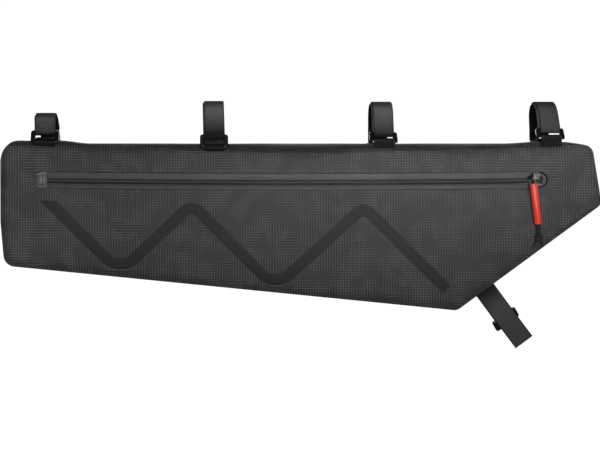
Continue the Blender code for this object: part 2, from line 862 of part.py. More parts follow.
def make_slider(finish, group):
    """Slider parked in the dock: a round-nosed plate with a bridge along it."""
    cutters = bpy.data.collections["cutters"]
    half = SLIDER_WIDTH / 2
    nose_x, seat, centre_z = slider_seat()
    nose = arc_points(nose_x, centre_z, half, -90.0, 90.0, 12)
    rear_x = nose_x + half - SLIDER_LENGTH
    tail = [(rear_x + half * 0.5, centre_z + half * 0.92), (rear_x, centre_z + half * 0.62),
            (rear_x, centre_z - half * 0.62), (rear_x + half * 0.5, centre_z - half * 0.92)]
    plate = panel_solid("zip_slider", nose + tail, seat - SLIDER_PLATE, seat, finish, group)
    start = rear_x - BRIDGE_BAR * 0.2
    end = nose_x + half * 0.2
    root = seat - SLIDER_PLATE * 0.5
    crest = seat - SLIDER_PLATE - BRIDGE_HEIGHT
    step = BRIDGE_BAR * 0.125
    bend = BRIDGE_BAR * 1.375
    dip = BRIDGE_BAR * 0.0625
    line = smooth_line([
        Vector((start, root)), Vector((start + step, blend(root, crest, 0.55))),
        Vector((start + bend, crest + dip)), Vector(((start + end) / 2, crest)),
        Vector((end - bend, crest + dip)), Vector((end - step, blend(root, crest, 0.55))),
        Vector((end, root))], 3)
    curve = flat_curve("bridge", [ribbon_outline(line, BRIDGE_BAR)], BRIDGE_WIDTH)
    place = axes((1, 0, 0), (0, 1, 0), (0, 0, 1), (0, 0, centre_z + half * 0.30))
    bridge = solid_from_curve("bridge", curve, place, finish, group)
    join(plate, bridge, cutters)


def make_pull(cord_finish, sleeve_finish, group):
    """Cord, sleeve and knot that hang from the slider's bridge."""
    knots = [slider_seat() + Vector(point) for point in PULL_ROUTE]
    route = smooth_line(knots, 4)
    curve = bpy.data.curves.new("pull_cord", "CURVE")
    curve.dimensions = "3D"
    curve.bevel_depth = CORD_DIAMETER / 2
    curve.bevel_resolution = 2
    curve.use_fill_caps = True
    spline = curve.splines.new("POLY")
    spline.points.add(len(route) - 1)
    for point, place in zip(spline.points, route):
        point.co = (*place, 1.0)
    add("pull_cord", curve, cord_finish, group)

    top = sum((knots[index] for index in SLEEVE_TOP_POINTS), Vector()) / 2
    low = sum((knots[index] for index in SLEEVE_LOW_POINTS), Vector()) / 2
    way = (low - top).normalized()
    profile = bmesh.new()
    corners = [profile.verts.new(point) for point in (
        (SLEEVE_RADIUS, 0.0, 0.0), (SLEEVE_RADIUS, 0.0, -SLEEVE_LENGTH),
        (SLEEVE_BORE, 0.0, -SLEEVE_LENGTH), (SLEEVE_BORE, 0.0, 0.0))]
    for index in range(4):
        profile.edges.new((corners[index], corners[(index + 1) % 4]))
    mesh = bpy.data.meshes.new("pull_sleeve")
    profile.to_mesh(mesh)
    profile.free()
    sleeve = add("pull_sleeve", mesh, sleeve_finish, group)
    sleeve.matrix_world = Matrix.Translation(top) @ way.to_track_quat("-Z", "Y").to_matrix().to_4x4()
    modify(sleeve, "SCREW", axis="Z", steps=16, render_steps=16, use_merge_vertices=True,
           merge_threshold=0.00001)

    knot_top = (knots[0] + knots[-1]) / 2
    centre = knot_top - Vector((0.0, 0.0, KNOT_LENGTH / 2 + TOUCH_GAP))
    bpy.ops.mesh.primitive_uv_sphere_add(segments=10, ring_count=7, radius=0.5, location=centre)
    knot = bpy.context.object
    knot.name = "pull_knot"
    knot.data.name = "pull_knot"
    knot.data.materials.append(cord_finish)
    for vert in knot.data.vertices:
        vert.co.x *= KNOT_WIDTH
        vert.co.y *= KNOT_WIDTH * 0.62
        vert.co.z *= KNOT_LENGTH
    for holder in list(knot.users_collection):
        holder.objects.unlink(knot)
    group.objects.link(knot)
    cutters = bpy.data.collections["cutters"]
    for side in (-1, 1):
        bpy.ops.mesh.primitive_cone_add(vertices=8, radius1=CORD_DIAMETER * 0.5,
                                        radius2=CORD_DIAMETER * 0.5, depth=KNOT_LENGTH * 0.85)
        end = bpy.context.object
        end.name = "knot_end"
        end.matrix_world = Matrix.Translation(
            centre + Vector((side * KNOT_WIDTH * 0.42, 0.0, -KNOT_LENGTH * 0.60)))
        end.matrix_world = end.matrix_world @ Matrix.Rotation(math.radians(-side * 28.0), 4, "Y")
        join(knot, end, cutters)


def band_points():
    """Centre line of the zigzag band with its turns rounded, in X and height."""
    nodes = [Vector((row.x * BAG_LENGTH, row.z * BAG_DEPTH)) for row in ZIGZAG]
    line = [nodes[0]]
    for index in range(1, len(nodes) - 1):
        radius = ZIGZAG[index].turn * BAND_WIDTH
        way_in = (nodes[index] - nodes[index - 1]).normalized()
        way_out = (nodes[index + 1] - nodes[index]).normalized()
        turn = way_in.angle(way_out)
        left = way_in.x * way_out.y - way_in.y * way_out.x > 0
        side = 1.0 if left else -1.0
        start = nodes[index] - way_in * radius * math.tan(turn / 2)
        normal = Vector((-way_in.y, way_in.x)) * side
        centre = start + normal * radius
        arc = [centre - Matrix.Rotation(side * turn * step / 5, 2) @ normal * radius
               for step in range(6)]
        line += [line[-1].lerp(arc[0], share / 4) for share in range(1, 4)]
        line += arc
    line += [line[-1].lerp(nodes[-1], share / 4) for share in range(1, 5)]
    return line


def make_band(finish, group):
    """Flat tape bonded on the near panel in a zigzag."""
    line = band_points()
    tape = bmesh.new()
    rows = []
    for index, point in enumerate(line):
        before = line[max(index - 1, 0)]
        after = line[min(index + 1, len(line) - 1)]
        way = (after - before).normalized()
        normal = Vector((-way.y, way.x)) * BAND_WIDTH / 2
        if index == 0:
            normal = Vector((BAND_WIDTH * 0.70, 0.0))
        row = []
        for side in (1.0, 0.0, -1.0):
            place = point + normal * side
            z = TOP_Z + place.y
            y = panel_y(place.x, z) - TOUCH_GAP * 1.5
            row.append(tape.verts.new((place.x, y, z)))
        rows.append(row)
    for left, right in zip(rows, rows[1:]):
        for step in range(2):
            tape.faces.new((left[step], left[step + 1], right[step + 1], right[step]))
    bmesh.ops.recalc_face_normals(tape, faces=tape.faces)
    mesh = bpy.data.meshes.new("zigzag_band")
    tape.to_mesh(mesh)
    tape.free()
    piece = add("zigzag_band", mesh, finish, group)
    side = 1.0 if mesh.polygons[0].normal.y < 0 else -1.0
    modify(piece, "SOLIDIFY", thickness=BAND_THICKNESS, offset=side)
    return piece


def slant_frame():
    """Plane across the slanted edge at the lower strap: own X points out of the bag."""
    belly = corner_point("belly")
    nose = corner_point("nose_low")
    along = (nose - belly).normalized()
    root = belly.lerp(nose, DOWN_STRAP_SHARE)
    out = Vector((along.y, 0.0, -along.x))
    back = Vector((0.0, 1.0, 0.0))
    return axes(out, back, out.cross(back), (root.x, 0.0, TOP_Z + root.y))


def make_down_strap(cloth, webbing, plastic, group):
    """Lower strap, its ring, the tab that holds the ring and their patch."""
    place = slant_frame()
    seat = TOUCH_GAP
    patch_top = seat + PATCH_THICKNESS
    outline = rounded_box(PATCH_WIDTH, PATCH_DEPTH * 0.85, PATCH_CORNER)
    out = Vector(place.col[0][:3])
    back = Vector(place.col[1][:3])
    side = Vector(place.col[2][:3])
    root = Vector(place.col[3][:3])
    patch_place = axes(side, back, -out, root + out * (seat + PATCH_THICKNESS / 2))
    curve = flat_curve("down_patch", [outline], PATCH_THICKNESS)
    solid_from_curve("down_patch", curve, patch_place, webbing, group)

    base = patch_top + TOUCH_GAP + STRAP_THICKNESS / 2
    hang = -DOWN_STRAP_SET
    held = DOWN_STRAP_HOLD
    turn = STRAP_THICKNESS * 1.5
    strap_line = [Vector((base, held)), Vector((base, held * 0.21)), Vector((base, hang + turn * 2))]
    strap_line += wrap(Vector((base + turn, hang + turn)), turn, 180.0, 270.0, 4)
    ends = [strap_line[-1], Vector((DOWN_STRAP_LENGTH * 0.35, hang)),
            Vector((DOWN_STRAP_LENGTH * 0.70, hang - STRAP_THICKNESS * 0.2)),
            Vector((DOWN_STRAP_LENGTH, hang - STRAP_THICKNESS * 1.3))]
    strap_line = strap_line[:-1] + smooth_line(ends, 4)
    ribbon("down_strap", strap_line, STRAP_THICKNESS, STRAP_WIDTH, place, cloth, group)

    skin = TOUCH_GAP + TAB_THICKNESS / 2
    over_bar = RING_BAR / 2 + skin
    bar_back = hang + STRAP_THICKNESS / 2 + TOUCH_GAP + TAB_THICKNESS / 2 + over_bar
    bar = Vector((DOWN_RING_REACH - (RING_HEIGHT - RING_BAR) / 2, bar_back))
    tab_base = base + STRAP_THICKNESS / 2 + skin
    corner = Vector((tab_base + turn, bar_back + over_bar + turn))
    tail = DOWN_STRAP_LENGTH * 0.32
    tab_line = [Vector((tab_base, held)), Vector((tab_base, blend(corner.y, held, 0.3)))]
    tab_line += wrap(corner, turn, 180.0, 270.0, 4)
    tab_line += [Vector((bar.x - tail * 0.45, bar.y + over_bar))]
    tab_line += wrap(bar, over_bar, 90.0, -90.0, 6)
    tab_line += [Vector((bar.x - tail * 0.45, bar.y - over_bar)),
                 Vector((bar.x - tail, bar.y - over_bar + TAB_THICKNESS * 0.5))]
    ribbon("down_tab", tab_line, TAB_THICKNESS, TAB_WIDTH, place, webbing, group)

    centre = root + out * DOWN_RING_REACH + back * bar_back
    ring_solid("down_ring", axes(side, out, side.cross(out), centre), plastic, group)


def main():
    clear_scene()
    bag = collection("frame_bag")
    cutters = collection("cutters")
    ripstop = material("ripstop", (0.045, 0.046, 0.048), 0.75)
    smooth_tape = material("bonded_tape", (0.026, 0.026, 0.027), 0.62)
    zip_tape = material("zip_tape", (0.055, 0.055, 0.057), 0.5)
    strap_cloth = material("strap_cloth", (0.055, 0.056, 0.058), 0.9)
    webbing = material("webbing", (0.012, 0.012, 0.013), 0.85)
    moulded = material("black_plastic", (0.008, 0.008, 0.008), 0.3)
    metal = material("gunmetal", (0.32, 0.33, 0.34), 0.3, 1.0)
    cord = material("cord", (0.01, 0.01, 0.01), 0.8)
    sleeve = material("red_sleeve", (0.85, 0.09, 0.06), 0.35)
    make_shell(ripstop, bag, cutters)
    make_band(smooth_tape, bag)
    make_zip(zip_tape, moulded, bag)
    make_slider(metal, bag)
    make_pull(cord, sleeve, bag)
    for strap in STRAPS:
        make_patch(strap, webbing, bag)
        make_tab(strap, webbing, bag)
        make_ring(strap, moulded, bag)
        make_strap(strap, strap_cloth, bag)
    make_down_strap(strap_cloth, webbing, moulded, bag)


main()
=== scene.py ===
"""Looks of a bicycle frame bag: welded ripstop body, side zip, strap loops and lower strap.

Every size is in metres. X runs along the bag towards its nose, the zipped panel faces -Y
and Z is up, with the origin on the axis of the bicycle's top tube.
"""

import math

import bpy
import numpy as np
from mathutils import Matrix, Vector, noise


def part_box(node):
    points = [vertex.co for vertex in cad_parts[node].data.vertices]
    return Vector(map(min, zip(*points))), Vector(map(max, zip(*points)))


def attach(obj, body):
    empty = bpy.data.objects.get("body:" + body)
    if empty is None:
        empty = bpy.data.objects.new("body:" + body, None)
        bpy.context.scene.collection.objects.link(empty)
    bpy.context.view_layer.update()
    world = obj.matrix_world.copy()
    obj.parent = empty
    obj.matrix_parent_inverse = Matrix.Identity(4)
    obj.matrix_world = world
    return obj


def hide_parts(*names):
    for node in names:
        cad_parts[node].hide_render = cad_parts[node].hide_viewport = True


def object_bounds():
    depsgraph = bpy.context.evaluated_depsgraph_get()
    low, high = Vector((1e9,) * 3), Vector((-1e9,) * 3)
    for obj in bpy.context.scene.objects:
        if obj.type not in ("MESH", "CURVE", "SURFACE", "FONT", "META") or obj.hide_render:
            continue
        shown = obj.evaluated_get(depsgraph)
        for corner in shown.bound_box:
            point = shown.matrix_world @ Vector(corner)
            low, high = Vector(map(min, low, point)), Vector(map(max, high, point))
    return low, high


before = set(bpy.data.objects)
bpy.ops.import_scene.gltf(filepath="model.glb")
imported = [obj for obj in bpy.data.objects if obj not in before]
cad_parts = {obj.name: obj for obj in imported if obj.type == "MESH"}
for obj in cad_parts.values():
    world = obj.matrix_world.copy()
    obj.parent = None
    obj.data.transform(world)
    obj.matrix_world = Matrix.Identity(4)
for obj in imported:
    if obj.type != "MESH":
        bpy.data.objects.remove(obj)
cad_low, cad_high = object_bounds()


# Camera: a long lens straight in front of the zipped panel, level with the zigzag. It
# stands a little behind the middle of the bag, so its frame is shifted towards the nose.
CAMERA_PLACE = (-0.0906, -1.320, -0.090)
CAMERA_LENS = 88.6
CAMERA_SHIFT = 0.172

bpy.ops.object.select_all(action="DESELECT")
bpy.ops.object.camera_add(location=CAMERA_PLACE, rotation=(math.radians(90), 0, 0))
camera = bpy.context.object
camera.data.lens = CAMERA_LENS
camera.data.sensor_width = 36.0
camera.data.shift_x = CAMERA_SHIFT
camera.data.clip_end = 100.0
bpy.context.scene.camera = camera
bpy.context.scene.view_settings.view_transform = "Standard"


# Studio: a pale floor well below the hanging bag, a white surround, a long narrow strip
# light level with the bag's top on the nose's side, soft boxes in front and one behind.
FLOOR_DROP = 0.30
FLOOR_GREY = (0.10, 0.10, 0.10, 1)
SURROUND_LIGHT = 0.05
SEEN_WHITE = 1.05
SOFT_BOXES = (
    # name, place, point it faces, width, height, watts, spread in degrees
    ("strip", (0.40, -1.25, 0.02), (0.40, 0.0, 0.02), 0.90, 0.10, 0.25, 17.0),
    ("left", (-0.42, -1.25, -0.08), (-0.42, 0.0, -0.08), 0.36, 0.40, 0.10, 17.0),
    ("front", (0.12, -1.70, -0.05), (0.0, 0.0, -0.08), 1.2, 1.2, 16.0, 180.0),
    ("back", (0.2, 1.6, 0.6), (0.0, 0.0, -0.08), 1.2, 1.2, 18.0, 180.0),
)


def node(tree, kind, sockets=None, **settings):
    """New shader node with its settings, and its sockets set or linked."""
    made = tree.nodes.new("ShaderNode" + kind)
    for key, value in settings.items():
        setattr(made, key, value)
    for key, value in (sockets or {}).items():
        if isinstance(value, bpy.types.NodeSocket):
            tree.links.new(value, made.inputs[key])
        else:
            made.inputs[key].default_value = value
    return made


def ranged(tree, value, low, high, first=0.0, last=1.0, soft=False):
    """Value that goes from first to last as another goes from low to high."""
    sockets = {"Value": value, "From Min": low, "From Max": high, "To Min": first,
               "To Max": last}
    way = "SMOOTHSTEP" if soft else "LINEAR"
    return node(tree, "MapRange", sockets, interpolation_type=way).outputs[0]


def finish_named(name, colour, roughness, more=None):
    """New material, its node tree and its shader, which gets more values by socket name."""
    made = bpy.data.materials.new(name)
    made.use_nodes = True
    shader = made.node_tree.nodes["Principled BSDF"]
    for key, value in {"Base Color": colour, "Roughness": roughness, **(more or {})}.items():
        shader.inputs[key].default_value = value
    return made, made.node_tree, shader


world = bpy.data.worlds.new("white_surround")
world.use_nodes = True
sky = world.node_tree
sky.nodes.clear()


def seen_white(tree):
    """Full white for the camera and the surround's weaker light for everything else."""
    seen = node(tree, "LightPath").outputs["Is Camera Ray"]
    return ranged(tree, seen, 0.0, 1.0, SURROUND_LIGHT, SEEN_WHITE)


white = node(sky, "Background", {"Color": (1, 1, 1, 1), "Strength": seen_white(sky)})
node(sky, "OutputWorld", {"Surface": white.outputs[0]})
bpy.context.scene.world = world

for name, place, target, width, height, watts, spread in SOFT_BOXES:
    bpy.ops.object.light_add(type="AREA", location=place)
    soft_box = bpy.context.object
    soft_box.name = name + "_soft_box"
    soft_box.data.shape = "RECTANGLE"
    soft_box.data.size = width
    soft_box.data.size_y = height
    soft_box.data.energy = watts
    soft_box.data.spread = math.radians(spread)
    aim = Vector(target) - Vector(place)
    soft_box.rotation_euler = aim.to_track_quat("-Z", "Y").to_euler()

bpy.ops.mesh.primitive_plane_add(size=60.0, location=(0.0, 0.0, cad_low[2] - FLOOR_DROP))
floor = bpy.context.object
floor.name = "studio_floor"
pale, tree, shader = finish_named("pale_floor", FLOOR_GREY, 0.9,
                                  {"Emission Color": (1, 1, 1, 1)})
tree.links.new(seen_white(tree), shader.inputs["Emission Strength"])
floor.data.materials.append(pale)


# Pull cord: thin black braided cord, one loop that goes through the slider's bridge and
# down through the sleeve to the knot that closes it.
CORD_DIAMETER = 0.0016
CORD_DARK = (0.006, 0.006, 0.006, 1)
CORD_LIGHT = (0.035, 0.035, 0.036, 1)
ROUTE_DOWN = (
    (0.2013, -0.0365, -0.0449), (0.2010, -0.0387, -0.0456), (0.2007, -0.0396, -0.0478),
    (0.2005, -0.0393, -0.0502), (0.2006, -0.0382, -0.0524), (0.2009, -0.0366, -0.0538),
    (0.2026, -0.0354, -0.0655), (0.2043, -0.0342, -0.0773), (0.2061, -0.0329, -0.0890),
    (0.2067, -0.0321, -0.0935), (0.2070, -0.0313, -0.0978),
)
ROUTE_TURN = (0.2078, -0.0309, -0.1000)
ROUTE_UP = (
    (0.2087, -0.0313, -0.0978), (0.2086, -0.0321, -0.0935), (0.2082, -0.0329, -0.0890),
    (0.2064, -0.0342, -0.0773), (0.2047, -0.0354, -0.0655), (0.2030, -0.0366, -0.0538),
    (0.2024, -0.0355, -0.0521), (0.2020, -0.0341, -0.0504), (0.2018, -0.0338, -0.0484),
    (0.2016, -0.0345, -0.0462),
)


def smooth_line(points, steps):
    """Smooth curve through points, with steps points in each span."""
    ends = [points[0] * 2 - points[1]] + list(points) + [points[-1] * 2 - points[-2]]
    line = []
    for index in range(1, len(ends) - 2):
        before, start, end, after = ends[index - 1:index + 3]
        for step in range(steps):
            t = step / steps
            bend = (2 * before - 5 * start + 4 * end - after) * t * t
            twist = (3 * start - before - 3 * end + after) * t * t * t
            line.append((2 * start + (end - before) * t + bend + twist) / 2)
    line.append(points[-1].copy())
    return line


def blended(tree, share, first, second):
    """Colour between first and second by a share."""
    return node(tree, "Mix", {0: share, 6: first, 7: second}, data_type="RGBA").outputs[2]


def coloured(tree, shader, colour):
    """Feed a colour to the shader."""
    tree.links.new(colour, shader.inputs["Base Color"])


def raised(tree, shader, height, distance, strength=1.0):
    """Feed a height to the shader's normal."""
    bump = node(tree, "Bump", {"Height": height, "Distance": distance, "Strength": strength})
    tree.links.new(bump.outputs[0], shader.inputs["Normal"])


cord_braid, tree, shader = finish_named("cord_braid", CORD_DARK, 0.7)
here = node(tree, "TexCoord").outputs["Object"]
strands = node(tree, "TexWave", {"Vector": here, "Scale": 420.0, "Distortion": 1.5},
               bands_direction="DIAGONAL").outputs["Fac"]
braid = blended(tree, strands, CORD_DARK, CORD_LIGHT)
coloured(tree, shader, braid)
raised(tree, shader, strands, 0.0002)


def cord_curve(name, points, diameter):
    """Round cord along points, as a curve of one open spline."""
    line = bpy.data.curves.new(name, "CURVE")
    line.dimensions = "3D"
    line.bevel_depth = diameter / 2
    line.bevel_resolution = 4
    line.use_fill_caps = True
    spline = line.splines.new("POLY")
    spline.points.add(len(points) - 1)
    for point, place in zip(spline.points, points):
        point.co = (*place, 1.0)
    spline.use_smooth = True
    piece = bpy.data.objects.new(name, line)
    bpy.context.scene.collection.objects.link(piece)
    return piece


cord_line = smooth_line([Vector(place) for place in (*ROUTE_DOWN, ROUTE_TURN, *ROUTE_UP)], 3)
cord = cord_curve("pull_cord_loop", cord_line, CORD_DIAMETER)
cord.data.materials.append(cord_braid)
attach(cord, "root")
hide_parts("pull_cord")


# Sleeve on the cord: a length of soft red plastic tube with a glossy skin, cut square at
# both ends and pushed over both strands.
SLEEVE_RADIUS = 0.0034
SLEEVE_BORE = 0.0022
SLEEVE_RED = (0.98, 0.078, 0.052, 1)
SLEEVE_DEEP_RED = (0.82, 0.038, 0.026, 1)


def only(piece):
    """Select one object alone and make it active."""
    bpy.ops.object.select_all(action="DESELECT")
    piece.select_set(True)
    bpy.context.view_layer.objects.active = piece


def apply_place(piece):
    """Put an object's place, turn and scale in its mesh."""
    only(piece)
    bpy.ops.object.transform_apply(location=True, rotation=True, scale=True)


def with_modifier(piece, kind, **settings):
    """Add a modifier and apply it."""
    only(piece)
    modifier = piece.modifiers.new(kind.title(), kind)
    for key, value in settings.items():
        setattr(modifier, key, value)
    bpy.ops.object.modifier_apply(modifier=modifier.name)


def softened(piece, width, segments, degrees=30.0):
    """Round the edges that are sharper than an angle."""
    with_modifier(piece, "BEVEL", width=width, segments=segments, limit_method="ANGLE",
                  angle_limit=math.radians(degrees))


def smooth(piece, degrees=35.0):
    """Shade smooth, with edges sharper than the angle kept crisp."""
    only(piece)
    bpy.ops.object.shade_smooth_by_angle(angle=math.radians(degrees))


def dressed(piece, name, finish, slot, *nodes):
    """Name a finished piece, give it its material, hang it on the root and hide the imported
    parts that it stands for.
    """
    piece.name = name
    piece.data.name = name
    piece.data.materials.clear()
    piece.data.materials.append(finish)
    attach(piece, "root")
    if nodes:
        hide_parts(*nodes)
    return piece


def clouds(tree, here, scale, detail):
    """Cloudy value from 0 to 1, finer with a larger scale."""
    sockets = {"Vector": here, "Scale": scale, "Detail": detail}
    return node(tree, "TexNoise", sockets).outputs["Fac"]


red_tube, tree, shader = finish_named(
    "red_tube", SLEEVE_RED, 0.32,
    {"Coat Weight": 0.4, "Coat Roughness": 0.2, "Subsurface Weight": 0.15,
     "Subsurface Radius": (0.002, 0.0005, 0.0004)})
here = node(tree, "TexCoord").outputs["Object"]
cloud = clouds(tree, here, 160.0, 4.0)
patchy = ranged(tree, cloud, 0.35, 0.75, 0.0, 0.35)
coloured(tree, shader, blended(tree, patchy, SLEEVE_RED, SLEEVE_DEEP_RED))
raised(tree, shader, cloud, 0.0002, 0.4)

sleeve_top = (Vector(ROUTE_DOWN[5]) + Vector(ROUTE_UP[5])) / 2
sleeve_low = (Vector(ROUTE_DOWN[8]) + Vector(ROUTE_UP[2])) / 2
sleeve_turn = (sleeve_top - sleeve_low).to_track_quat("Z", "Y").to_euler()
bpy.ops.mesh.primitive_cylinder_add(vertices=40, radius=SLEEVE_RADIUS,
                                    depth=(sleeve_top - sleeve_low).length,
                                    end_fill_type="NOTHING",
                                    location=(sleeve_top + sleeve_low) / 2, rotation=sleeve_turn)
sleeve = bpy.context.object
with_modifier(sleeve, "SOLIDIFY", thickness=SLEEVE_RADIUS - SLEEVE_BORE, offset=-1.0)
softened(sleeve, 0.0003, 2)
apply_place(sleeve)
smooth(sleeve)
dressed(sleeve, "red_pull_sleeve", red_tube, "red_sleeve", "pull_sleeve")


# Knot: the cord's two ends tied in an overhand knot under the sleeve, with short tails
# that are sealed by heat and spread apart.
KNOT_WIDTH = 0.0070
KNOT_DROP = 0.0032
KNOT_STEPS = 60
TAIL_LENGTH = 0.0052
TAIL_ROOT = (0.0012, -0.0022)
TAIL_SPREAD = 0.0026
TAIL_BOW = 0.0007

knot_low, knot_high = (Vector(corner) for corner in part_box("pull_knot"))
knot_centre = Vector(((knot_low.x + knot_high.x) / 2, (knot_low.y + knot_high.y) / 2,
                      knot_high.z - KNOT_DROP))
lobes = []
for step in range(KNOT_STEPS):
    turn = math.radians(360.0 * step / KNOT_STEPS)
    across = (math.sin(turn) + 2.0 * math.sin(2.0 * turn)) / 3.0
    up = (math.cos(turn) - 2.0 * math.cos(2.0 * turn)) / 3.0
    deep = -math.sin(3.0 * turn) / 3.0
    half = (KNOT_WIDTH - CORD_DIAMETER) / 2
    lobes.append(knot_centre + Vector((across * half, deep * half, up * half)))
lobes.append(lobes[0])
knot = cord_curve("knot", lobes, CORD_DIAMETER * 1.25)
tails = []
for side in (-1, 1):
    root = knot_centre + Vector((side * TAIL_ROOT[0], 0.0, TAIL_ROOT[1]))
    tip = root + Vector((side * TAIL_SPREAD, -0.0004, -TAIL_LENGTH))
    middle = (root + tip) / 2 + Vector((side * TAIL_BOW, 0.0, 0.0))
    tails.append(cord_curve("tail", smooth_line([root, middle, tip], 5), CORD_DIAMETER * 1.1))
bpy.ops.object.select_all(action="DESELECT")
for part in [knot, *tails]:
    part.select_set(True)
bpy.context.view_layer.objects.active = knot
bpy.ops.object.convert(target="MESH")
bpy.ops.object.join()
knot = bpy.context.object
with_modifier(knot, "REMESH", mode="VOXEL", voxel_size=0.0003)
smooth(knot, 60)
dressed(knot, "cord_knot", cord_braid, "cord", "pull_knot")


# Bag body: two flat side panels and one long gusset of coated ripstop, welded at a soft
# rolled edge. The straps pull its top up, and between them the top edge rolls over.
BAG_LENGTH = 0.5285
BAG_DEPTH = 0.1468
TOP_WIDTH = 0.054
BELLY_WIDTH = 0.047
TOP_Z = -0.0186
EDGE_ROLL = 0.008
PANEL_CROWN = 0.0042
CROWN_FADE = 0.055
TOP_SLUMP = 0.95
GUSSET_RISE = 0.0011
LIFT_DEPTH = 0.026
FLAT_AT_STRAP = 0.01375
CORNERS = (
    # x, z below the top, radius, share of the edge roll
    (-0.2638, 0.0, 0.0170, 1.0),
    (0.2334, 0.0, 0.0, 1.0),
    (0.2567, -0.0021, 0.0085, 0.48),
    (0.2652, -0.0533, 0.0070, 0.45),
    (0.1392, -0.1470, 0.0080, 0.95),
    (-0.2605, -0.1074, 0.0105, 1.0),
    (-0.2638, -0.0685, 0.0, 1.0),
)
STRAPS = (
    # x, lift of the bag's top there
    (-0.22356, 0.0030), (-0.07552, 0.0004), (0.07325, 0.0004), (0.21959, 0.0019),
)
SLUMP_BETWEEN = (0.15, 1.0, 0.6)
TOP_NARROWING = 0.0233
SLANT_START = 0.137
SLANT_NARROWING = 0.128
BODY_GRAIN = 0.0019
THREAD_PITCH = 0.00235
THREAD_WIDTH = 0.00056
THREADS_GONE = (0.40, 0.45, 0.45)
THREAD_FADE = 0.12
THREAD_LEAST = 0.10
# Painted shade along the top: a darker strip where the rolled top edge faces up, away from the
# front light.
TOP_EDGE = -0.0200
TOP_SHADE_REACH = 0.0062
STRIP_WIDENS = (-0.150, -0.070)
STRIP_NARROWS = (0.050, 0.250)
STRIP_BLUR = 0.0006
TOP_SHADE_DARKNESS = 0.75
CLOTH_DARK = (0.0230, 0.0230, 0.0233, 1)
CLOTH_LIGHT = (0.0330, 0.0330, 0.0334, 1)
THREAD_COLOUR = (0.1350, 0.1350, 0.1355, 1)
PLAIN_CLOTH = (0.0440, 0.0440, 0.0445, 1)


def smooth_step(share):
    """Rise smoothly from 0 to 1 as share goes from 0 to 1."""
    share = min(max(share, 0.0), 1.0)
    return share * share * (3.0 - 2.0 * share)


def half_width(height):
    """Half the bag's width at a height measured from the top plane."""
    share = min(max(-height / BAG_DEPTH, 0.0), 1.0)
    return (TOP_WIDTH + (BELLY_WIDTH - TOP_WIDTH) * share) / 2


def floor_height(x):
    """Height of the lower outline at x, without its rounded corners."""
    nose, belly, rear = CORNERS[3], CORNERS[4], CORNERS[5]
    bottom = rear[1] + (belly[1] - rear[1]) * (x - rear[0]) / (belly[0] - rear[0])
    slant = belly[1] + (nose[1] - belly[1]) * (x - belly[0]) / (nose[0] - belly[0])
    return max(bottom, slant)


def panel_crown(x, height):
    """How far the side panel bulges beyond its edges."""
    across = min(max(height / min(floor_height(x), -EDGE_ROLL), 0.0), 1.0)
    from_rear = smooth_step((x + BAG_LENGTH / 2) / CROWN_FADE)
    from_nose = smooth_step((BAG_LENGTH / 2 - x) / CROWN_FADE)
    return PANEL_CROWN * from_rear * from_nose * (1.0 - abs(2.0 * across - 1.0) ** 3)


def top_lift(x):
    """How far the straps pull the bag's top up at x."""
    lift = 0.0
    for number, (strap_x, most) in enumerate(STRAPS):
        away = x - strap_x
        if number == 0:
            away = max(away, 0.0)
        lift = max(lift, most * (1.0 - smooth_step((abs(away) - FLAT_AT_STRAP) / LIFT_DEPTH)))
    return lift


def slump(x):
    """Share by which the top edge rolls over between straps."""
    for left, right, share in zip(STRAPS, STRAPS[1:], SLUMP_BETWEEN):
        start, end = left[0] + FLAT_AT_STRAP, right[0] - FLAT_AT_STRAP
        if start < x < end:
            return share * math.sin(math.pi * (x - start) / (end - start)) ** 2
    return 0.0


def ripple(x, height, side):
    """Soft waves of the cloth, outwards from the panel."""
    seed = 7.3 * side
    broad = noise.noise(Vector((x / 0.085, height / 0.050, seed)))
    narrow = noise.noise(Vector((x / 0.045, height / 0.016, seed + 4.0)))
    near_top = smooth_step(1.0 + height / 0.030)
    return 0.0007 * broad + 0.0004 * narrow * (0.35 + near_top)


def panel_y(x, z):
    """Y of the zipped panel's outer face."""
    height = z - TOP_Z
    return -(half_width(height) + panel_crown(x, height) + ripple(x, height, -1))


def cleaned(piece, merge=0.0, flatten=0.0):
    """Merge close points, make flat faces whole within an angle and turn all faces outwards."""
    only(piece)
    bpy.ops.object.mode_set(mode="EDIT")
    bpy.ops.mesh.select_all(action="SELECT")
    if merge:
        bpy.ops.mesh.remove_doubles(threshold=merge)
    if flatten:
        bpy.ops.mesh.dissolve_limited(angle_limit=math.radians(flatten))
    bpy.ops.mesh.normals_make_consistent(inside=False)
    bpy.ops.object.mode_set(mode="OBJECT")


def edge_attribute(piece, name, value_at):
    """Fill a named edge attribute from the edge's middle point."""
    layer = piece.data.attributes.new(name, "FLOAT", "EDGE")
    for edge in piece.data.edges:
        ends = [piece.data.vertices[index].co for index in edge.vertices]
        layer.data[edge.index].value = value_at(*ends)


bpy.ops.mesh.primitive_cube_add(size=1.0, location=(0.0, 0.0, TOP_Z - BAG_DEPTH / 2))
bag = bpy.context.object
bag.scale = (BAG_LENGTH + 0.01, TOP_WIDTH, BAG_DEPTH)
apply_place(bag)
bpy.ops.object.mode_set(mode="EDIT")
for start, end in zip(CORNERS, CORNERS[1:] + CORNERS[:1]):
    if start[1] == end[1]:
        continue
    along = Vector((end[0] - start[0], 0.0, end[1] - start[1])).normalized()
    bpy.ops.mesh.select_all(action="SELECT")
    bpy.ops.mesh.bisect(plane_co=(start[0], 0.0, TOP_Z + start[1]),
                        plane_no=(-along.z, 0.0, along.x), use_fill=True, clear_outer=True)
bpy.ops.object.mode_set(mode="OBJECT")


def at_corner(first, second):
    """Row of CORNERS that an edge across the bag lies on, or None."""
    if abs(first.x - second.x) + abs(first.z - second.z) > 0.0001:
        return None
    for row in CORNERS:
        if abs(first.x - row[0]) + abs(first.z - TOP_Z - row[1]) < 0.001:
            return row
    return None


